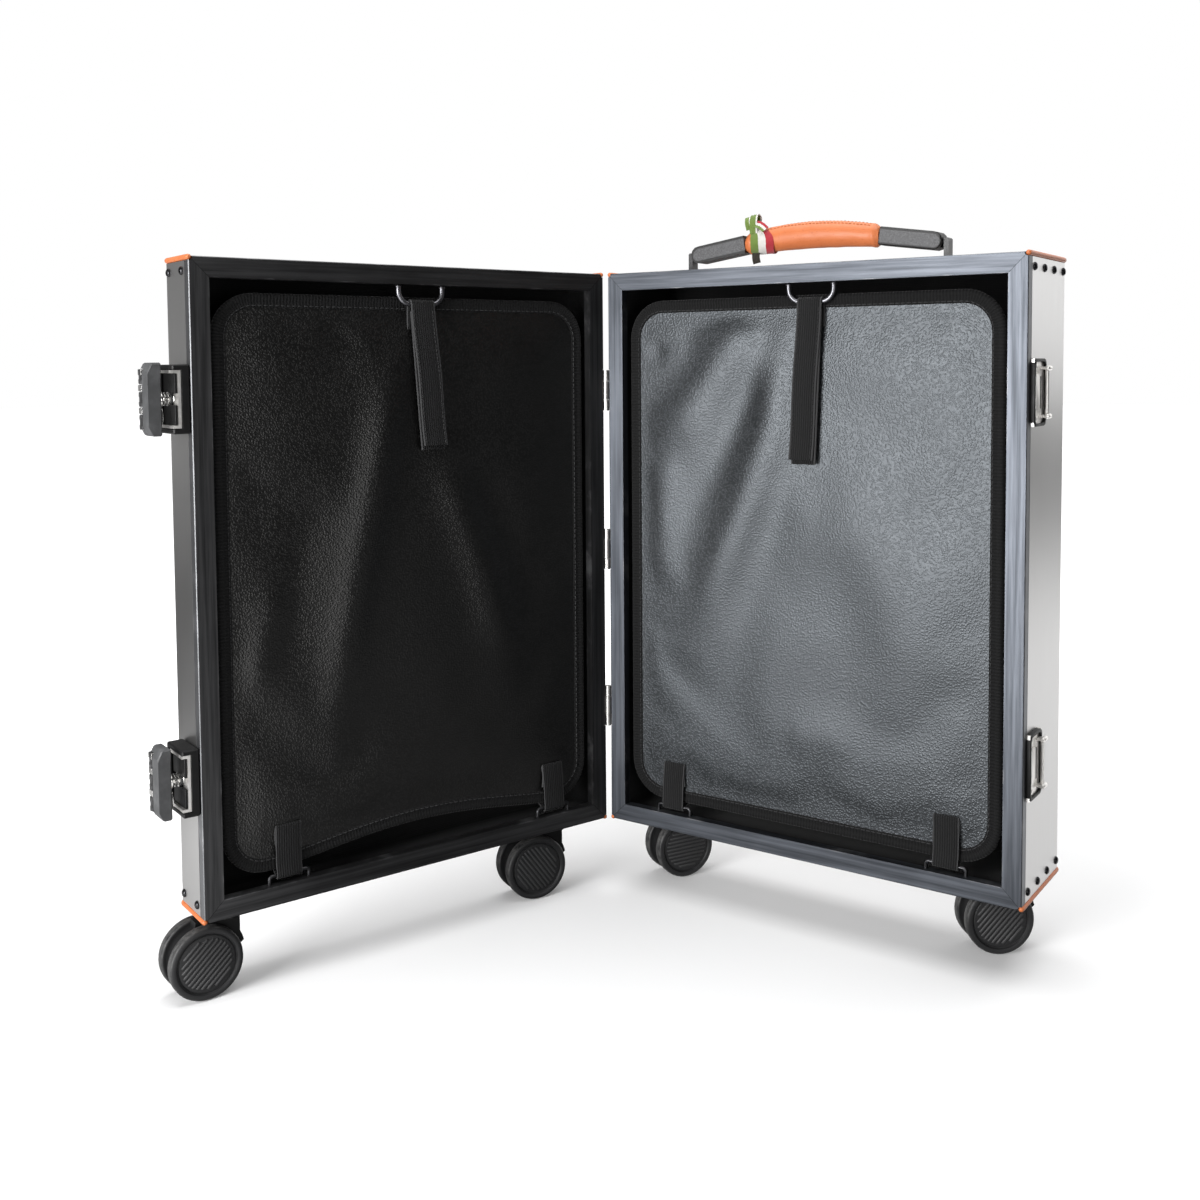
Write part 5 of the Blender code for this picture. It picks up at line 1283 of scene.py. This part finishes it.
def add_ribbon():
    """A striped ribbon wound round the grip's end, tied on top in a small bow with two tails."""
    shape = bmesh.new()
    places = {}
    wound = []
    knot_angle = math.radians(105)
    for index in range(49):
        angle = knot_angle + 2 * math.pi * index / 48
        gather = (0.5 + 0.5 * math.cos(angle - knot_angle)) ** 8
        across = RIBBON_MIDDLE + 0.5 * (KNOT.x - RIBBON_MIDDLE) * gather
        middle = grip_point(across, angle % (2 * math.pi), 0.0008 + 0.0008 * gather)
        middle.x += 0.45 * grip_radius(across) * max(0.0, -math.cos(angle))
        out = Vector((0, math.cos(angle), math.sin(angle)))
        wound.append((middle, Vector((1, 0, 0)), out, 1 - 0.35 * gather))
    ribbon_strip(shape, places, wound, RIBBON_WIDTH, 0.0007)
    ears = (
        ((0.0030, -0.0062, -0.0050), (0.0026, -0.0058, 0.0030), (0.0022, -0.0040, 0.0088), (0.0022, -0.0002, 0.0110),
         (0.0026, 0.0030, 0.0075), (0.0015, 0.0015, 0.0)),
        ((-0.0022, -0.0045, -0.0015), (-0.0034, -0.0046, 0.0036), (-0.0044, -0.0028, 0.0078), (-0.0048, 0.0004, 0.0092),
         (-0.0042, 0.0030, 0.0058), (-0.0020, 0.0018, 0.0)),
    )
    tails = (
        ((0.0030, -0.0045, 0.0030), (0.0070, -0.0058, 0.0024), (0.0112, -0.0068, 0.0004), (0.0150, -0.0078, -0.0026)),
        ((0.0040, -0.0035, -0.0212), (0.0042, -0.0042, -0.0255), (0.0050, -0.0036, -0.0298)),
    )
    for steps, width in zip(ears, (0.0066, 0.0046)):
        ribbon_line(flowing([KNOT + Vector(step) for step in steps], 5), Vector((1, 0.1, 0.12)), width, shape, places,
                    GREEN_STRIPE)
    for steps, lean, shown in zip(tails, (Vector((0.1, 0.55, 1)), Vector((1, 0.25, 0.1))), (STRIPES, PAINTED_SHADE_SPAN)):
        ribbon_line(flowing([KNOT + Vector(step) for step in steps], 5), lean, TAIL_WIDTH, shape, places, shown)
    tape_map(shape, places)
    ribbon = add_piece("handle_ribbon_cloth", shape, RIBBON, "handle", HANDLE_PLACE, 60,
                       ["handle_ribbon"])
    knot = bmesh.new()
    knot_places = {}
    for tilt, radius in ((0.25, 0.0030), (-0.35, 0.0027), (0.9, 0.0024)):
        axis = Vector((math.cos(tilt), 0.25, math.sin(tilt))).normalized()
        side = axis.orthogonal().normalized()
        strip = []
        for index in range(25):
            angle = 2 * math.pi * index / 24
            out = side * math.cos(angle) + axis.cross(side) * math.sin(angle)
            strip.append((KNOT + out * radius, axis, out, 1.0))
        ribbon_strip(knot, knot_places, strip, KNOT_WIDTH)
    tape_map(knot, knot_places)
    add_piece("handle_ribbon_knot", knot, RIBBON, "handle", HANDLE_PLACE, 60)


def add_handle():
    dress("handle_core", ARM_PLASTIC, 0.0012)
    for side in ("hinge_side", "free_side"):
        dress("handle_lug_" + side, LUG_GREY, 0.0006)
    add_grip()
    add_ribbon()


# Casters

WHEEL_PROFILE = [
    (0.0045, 0.0004), (0.0205, 0.0004), (0.0215, 0.0010), (0.0250, 0.0010), (0.0262, 0.0007), (0.0270, 0.0010),
    (0.0276, 0.0018), (0.0278, 0.0026), (0.0278, 0.0047), (0.0275, 0.0050), (0.0275, 0.0054), (0.0278, 0.0057),
    (0.0278, 0.0078), (0.0275, 0.0088), (0.0268, 0.0096), (0.0258, 0.0100), (0.0240, 0.0100), (0.0234, 0.0097),
    (0.0231, 0.0090), (0.0227, 0.0083), (0.0222, 0.0081), (0.0217, 0.0084), (0.0213, 0.0089), (0.0200, 0.0091),
    (0.0004, 0.0091),
]
HUB_RADIUS = 0.0202
RIB_PITCH = 0.0034
RIB_ANGLES = {"base_hinge_side": 0.05, "base_free_side": 0.85, "lid_hinge_side": 2.2, "lid_free_side": 0.75}


def hub_ribs(shape, turn, place, places):
    """Parallel half-round ribs across the hub's face."""
    half_width = RIB_PITCH * 0.36
    spin = place @ Matrix.Rotation(turn, 4, "Z")
    for index in range(-5, 6):
        offset = index * RIB_PITCH
        reach = math.sqrt(max(HUB_RADIUS ** 2 - (abs(offset) + half_width) ** 2, 0.0))
        if reach < 0.004:
            continue
        rings = []
        for along, share in ((-reach, 0.15), (-reach + 0.0012, 1.0), (reach - 0.0012, 1.0), (reach, 0.15)):
            section = arc((offset, 0.0), half_width, 0.0, math.pi, 6)
            rings.append([spin @ Vector((along, side, 0.0088 + rise * share)) for side, rise in section])
        for row, (along, share) in zip(loft(shape, rings), ((-reach, 0.0), (0, 1.0), (0, 1.0), (reach, 0.0))):
            for corner, (_, rise) in zip(row, section):
                places[corner] = (0.0, rise * share)


def add_wheel(name, rib_turn):
    """One caster wheel: a grooved tread, a raised rim and a ribbed hub face."""
    joint = JOINTS[name + "_spin"]
    outward = Vector(joint["axis"]) * (1 if name.endswith("right") else -1)
    up = Vector((0, 0, 1))
    sideways = up.cross(outward).normalized()
    turn = Matrix((sideways, up, outward)).transposed().to_4x4()
    place = Matrix.Translation(joint["pos_m"]) @ turn
    shape = bmesh.new()
    rows = turned(shape, WHEEL_PROFILE, 72, place)
    places = {}
    for row, (radius, height) in zip(rows, WHEEL_PROFILE):
        for corner in row:
            places[corner] = (radius, height)
    hub_ribs(shape, rib_turn, place, places)
    tape_map(shape, places)
    add_piece(name + "_tyre", shape, WHEEL, name, None, 35, [name])


def add_casters():
    for half in HALVES:
        for side in ("hinge_side", "free_side"):
            name = "caster_" + half.name + "_" + side
            dress(name + "_fork", BLACK_MOULDING, 0.0012)
            for wheel in ("left", "right"):
                add_wheel(name + "_wheel_" + wheel, RIB_ANGLES[half.name + "_" + side])


# Camera, light and floor

CAMERA_LENS = 39.053
CAMERA_SHIFT = (-0.00646, -0.13341)
CAMERA_FROM_HINGE = Vector((0.65542, -0.95714, 0.47336))
CAMERA_AHEAD = Vector((-0.56329, 0.82428, -0.0572))
CAMERA_ROLL = -0.00699
SOFTBOXES = [
    ("key_softbox", (-0.32, -1.55, 0.49), (0.12, 0.14, 0.30), (0.76, 0.96), 34),
    ("top_softbox", (0.1, 0.1, 2.3), (0.0, 0.1, 0.3), (2.4, 2.4), 54),
    ("fill_softbox", (0.94, -0.74, 0.30), (-0.17, -0.05, 0.30), (0.30, 0.60), 2.3),
]


def add_camera():
    """The picture's viewpoint: fitted position, aim, roll, lens and shift."""
    camera = bpy.data.cameras.new("picture_camera")
    camera.lens = CAMERA_LENS
    camera.sensor_width = 36
    camera.shift_x, camera.shift_y = CAMERA_SHIFT
    camera.clip_start = 0.01
    ahead = CAMERA_AHEAD.normalized()
    right = ahead.cross(Vector((0, 0, 1))).normalized()
    aim = Matrix((right, right.cross(ahead), -ahead)).transposed().to_4x4()
    holder = placed("picture_camera", camera)
    holder.matrix_world = (Matrix.Translation(HINGE + CAMERA_FROM_HINGE) @ aim
                           @ Matrix.Rotation(CAMERA_ROLL, 4, "Z"))
    bpy.context.scene.camera = holder


def add_softbox(name, place, target, size, power):
    lamp = bpy.data.lights.new(name, "AREA")
    lamp.shape = "RECTANGLE"
    lamp.size, lamp.size_y = size
    lamp.energy = power
    holder = placed(name, lamp)
    holder.location = place
    holder.rotation_euler = (Vector(target) - Vector(place)).to_track_quat("-Z", "Y").to_euler()


def add_world():
    """A plain studio: bright behind the suitcase, dimmer to the sides, and white to the eye."""
    world = bpy.data.worlds.new("studio")
    bpy.context.scene.world = world
    world.use_nodes = True
    made = Nodes(world.node_tree)
    world.node_tree.nodes.clear()
    toward = made.parts_of(made.node("ShaderNodeTexCoord", {}, {}, "Generated"))
    behind = (toward[0] * 0.15 + toward[1] * 0.97).ease(0.60, 0.98)
    left = (toward[0] * -1.0).ease(0.1, 0.9)
    before = (toward[1] * -0.9 + toward[0] * 0.3).ease(0.45, 1.0)
    above = toward[2].ease(0.2, 1.0)
    studio = 0.03 + behind * 1.60 + left * 0.28 + before * 0.30 + above * 0.18
    seen = made.node("ShaderNodeLightPath", {}, {}, "Is Camera Ray")
    strength = studio * (1 - seen) + seen
    back = made.node("ShaderNodeBackground", {}, {"Color": (1, 1, 1, 1), "Strength": strength})
    made.node("ShaderNodeOutputWorld", {}, {"Surface": back})


FLOOR_LIFT = 0.08


def add_floor():
    """A pale floor that is white to the eye and keeps the soft shadow. For glossy rays it glows behind the suitcase
    and, more strongly, in front and to its left: a painted reflection source.
    """
    shape = bmesh.new()
    bmesh.ops.create_grid(shape, x_segments=1, y_segments=1, size=14.0)
    mesh = mesh_from("studio_floor", shape)
    made = Finish("studio_paper", specular_ior_level=0.0, roughness=0.9, emission_strength=1.0)
    place = made.place()
    fibre = made.noise(place, 500.0, 2.0)
    across, depth, _ = made.parts_of(place)
    distance = ((across * across) + (depth - 0.05) * (depth - 0.05)) ** 0.5
    eye = made.node("ShaderNodeLightPath", {}, {}, "Is Camera Ray")
    mirrored = made.node("ShaderNodeLightPath", {}, {}, "Is Glossy Ray")
    behind = depth.ease(0.12, 0.32) * (1 - across.ease(0.7, 1.2))
    before = (1 - depth.ease(-0.42, -0.12)) * (1 - across.ease(0.05, 0.40)) * across.ease(-1.0, -0.7)
    # Painted reflection: the floor glows only in reflections, behind the suitcase and strongly in front and to its
    # left.
    painted_reflection_glow = behind * (1.0 + depth.ease(0.3, 1.8) * 0.55) + before * 2.4
    lift = eye * (FLOOR_LIFT + distance.ease(0.40, 1.1) * (1 - FLOOR_LIFT)) + mirrored * painted_reflection_glow
    white = made.mix(fibre, (0.88, 0.88, 0.883), (0.90, 0.90, 0.903))
    made.shade(base_color=made.mix(eye, (0.12, 0.12, 0.122), white),
               emission_color=made.node("ShaderNodeCombineColor", {}, {0: lift, 1: lift, 2: lift}))
    mesh.materials.append(made.material)
    floor = placed("studio_floor", mesh)
    floor.location.z = -0.0004


def build():
    bpy.context.scene.view_settings.view_transform = "Standard"
    add_camera()
    for half in HALVES:
        add_shell(half)
        add_dividers(half)
    add_hinges()
    for level in LATCH_LEVELS:
        add_latch(level)
        add_keeper(level)
    add_handle()
    add_casters()
    add_floor()
    add_world()
    for softbox in SOFTBOXES:
        add_softbox(*softbox)


build()
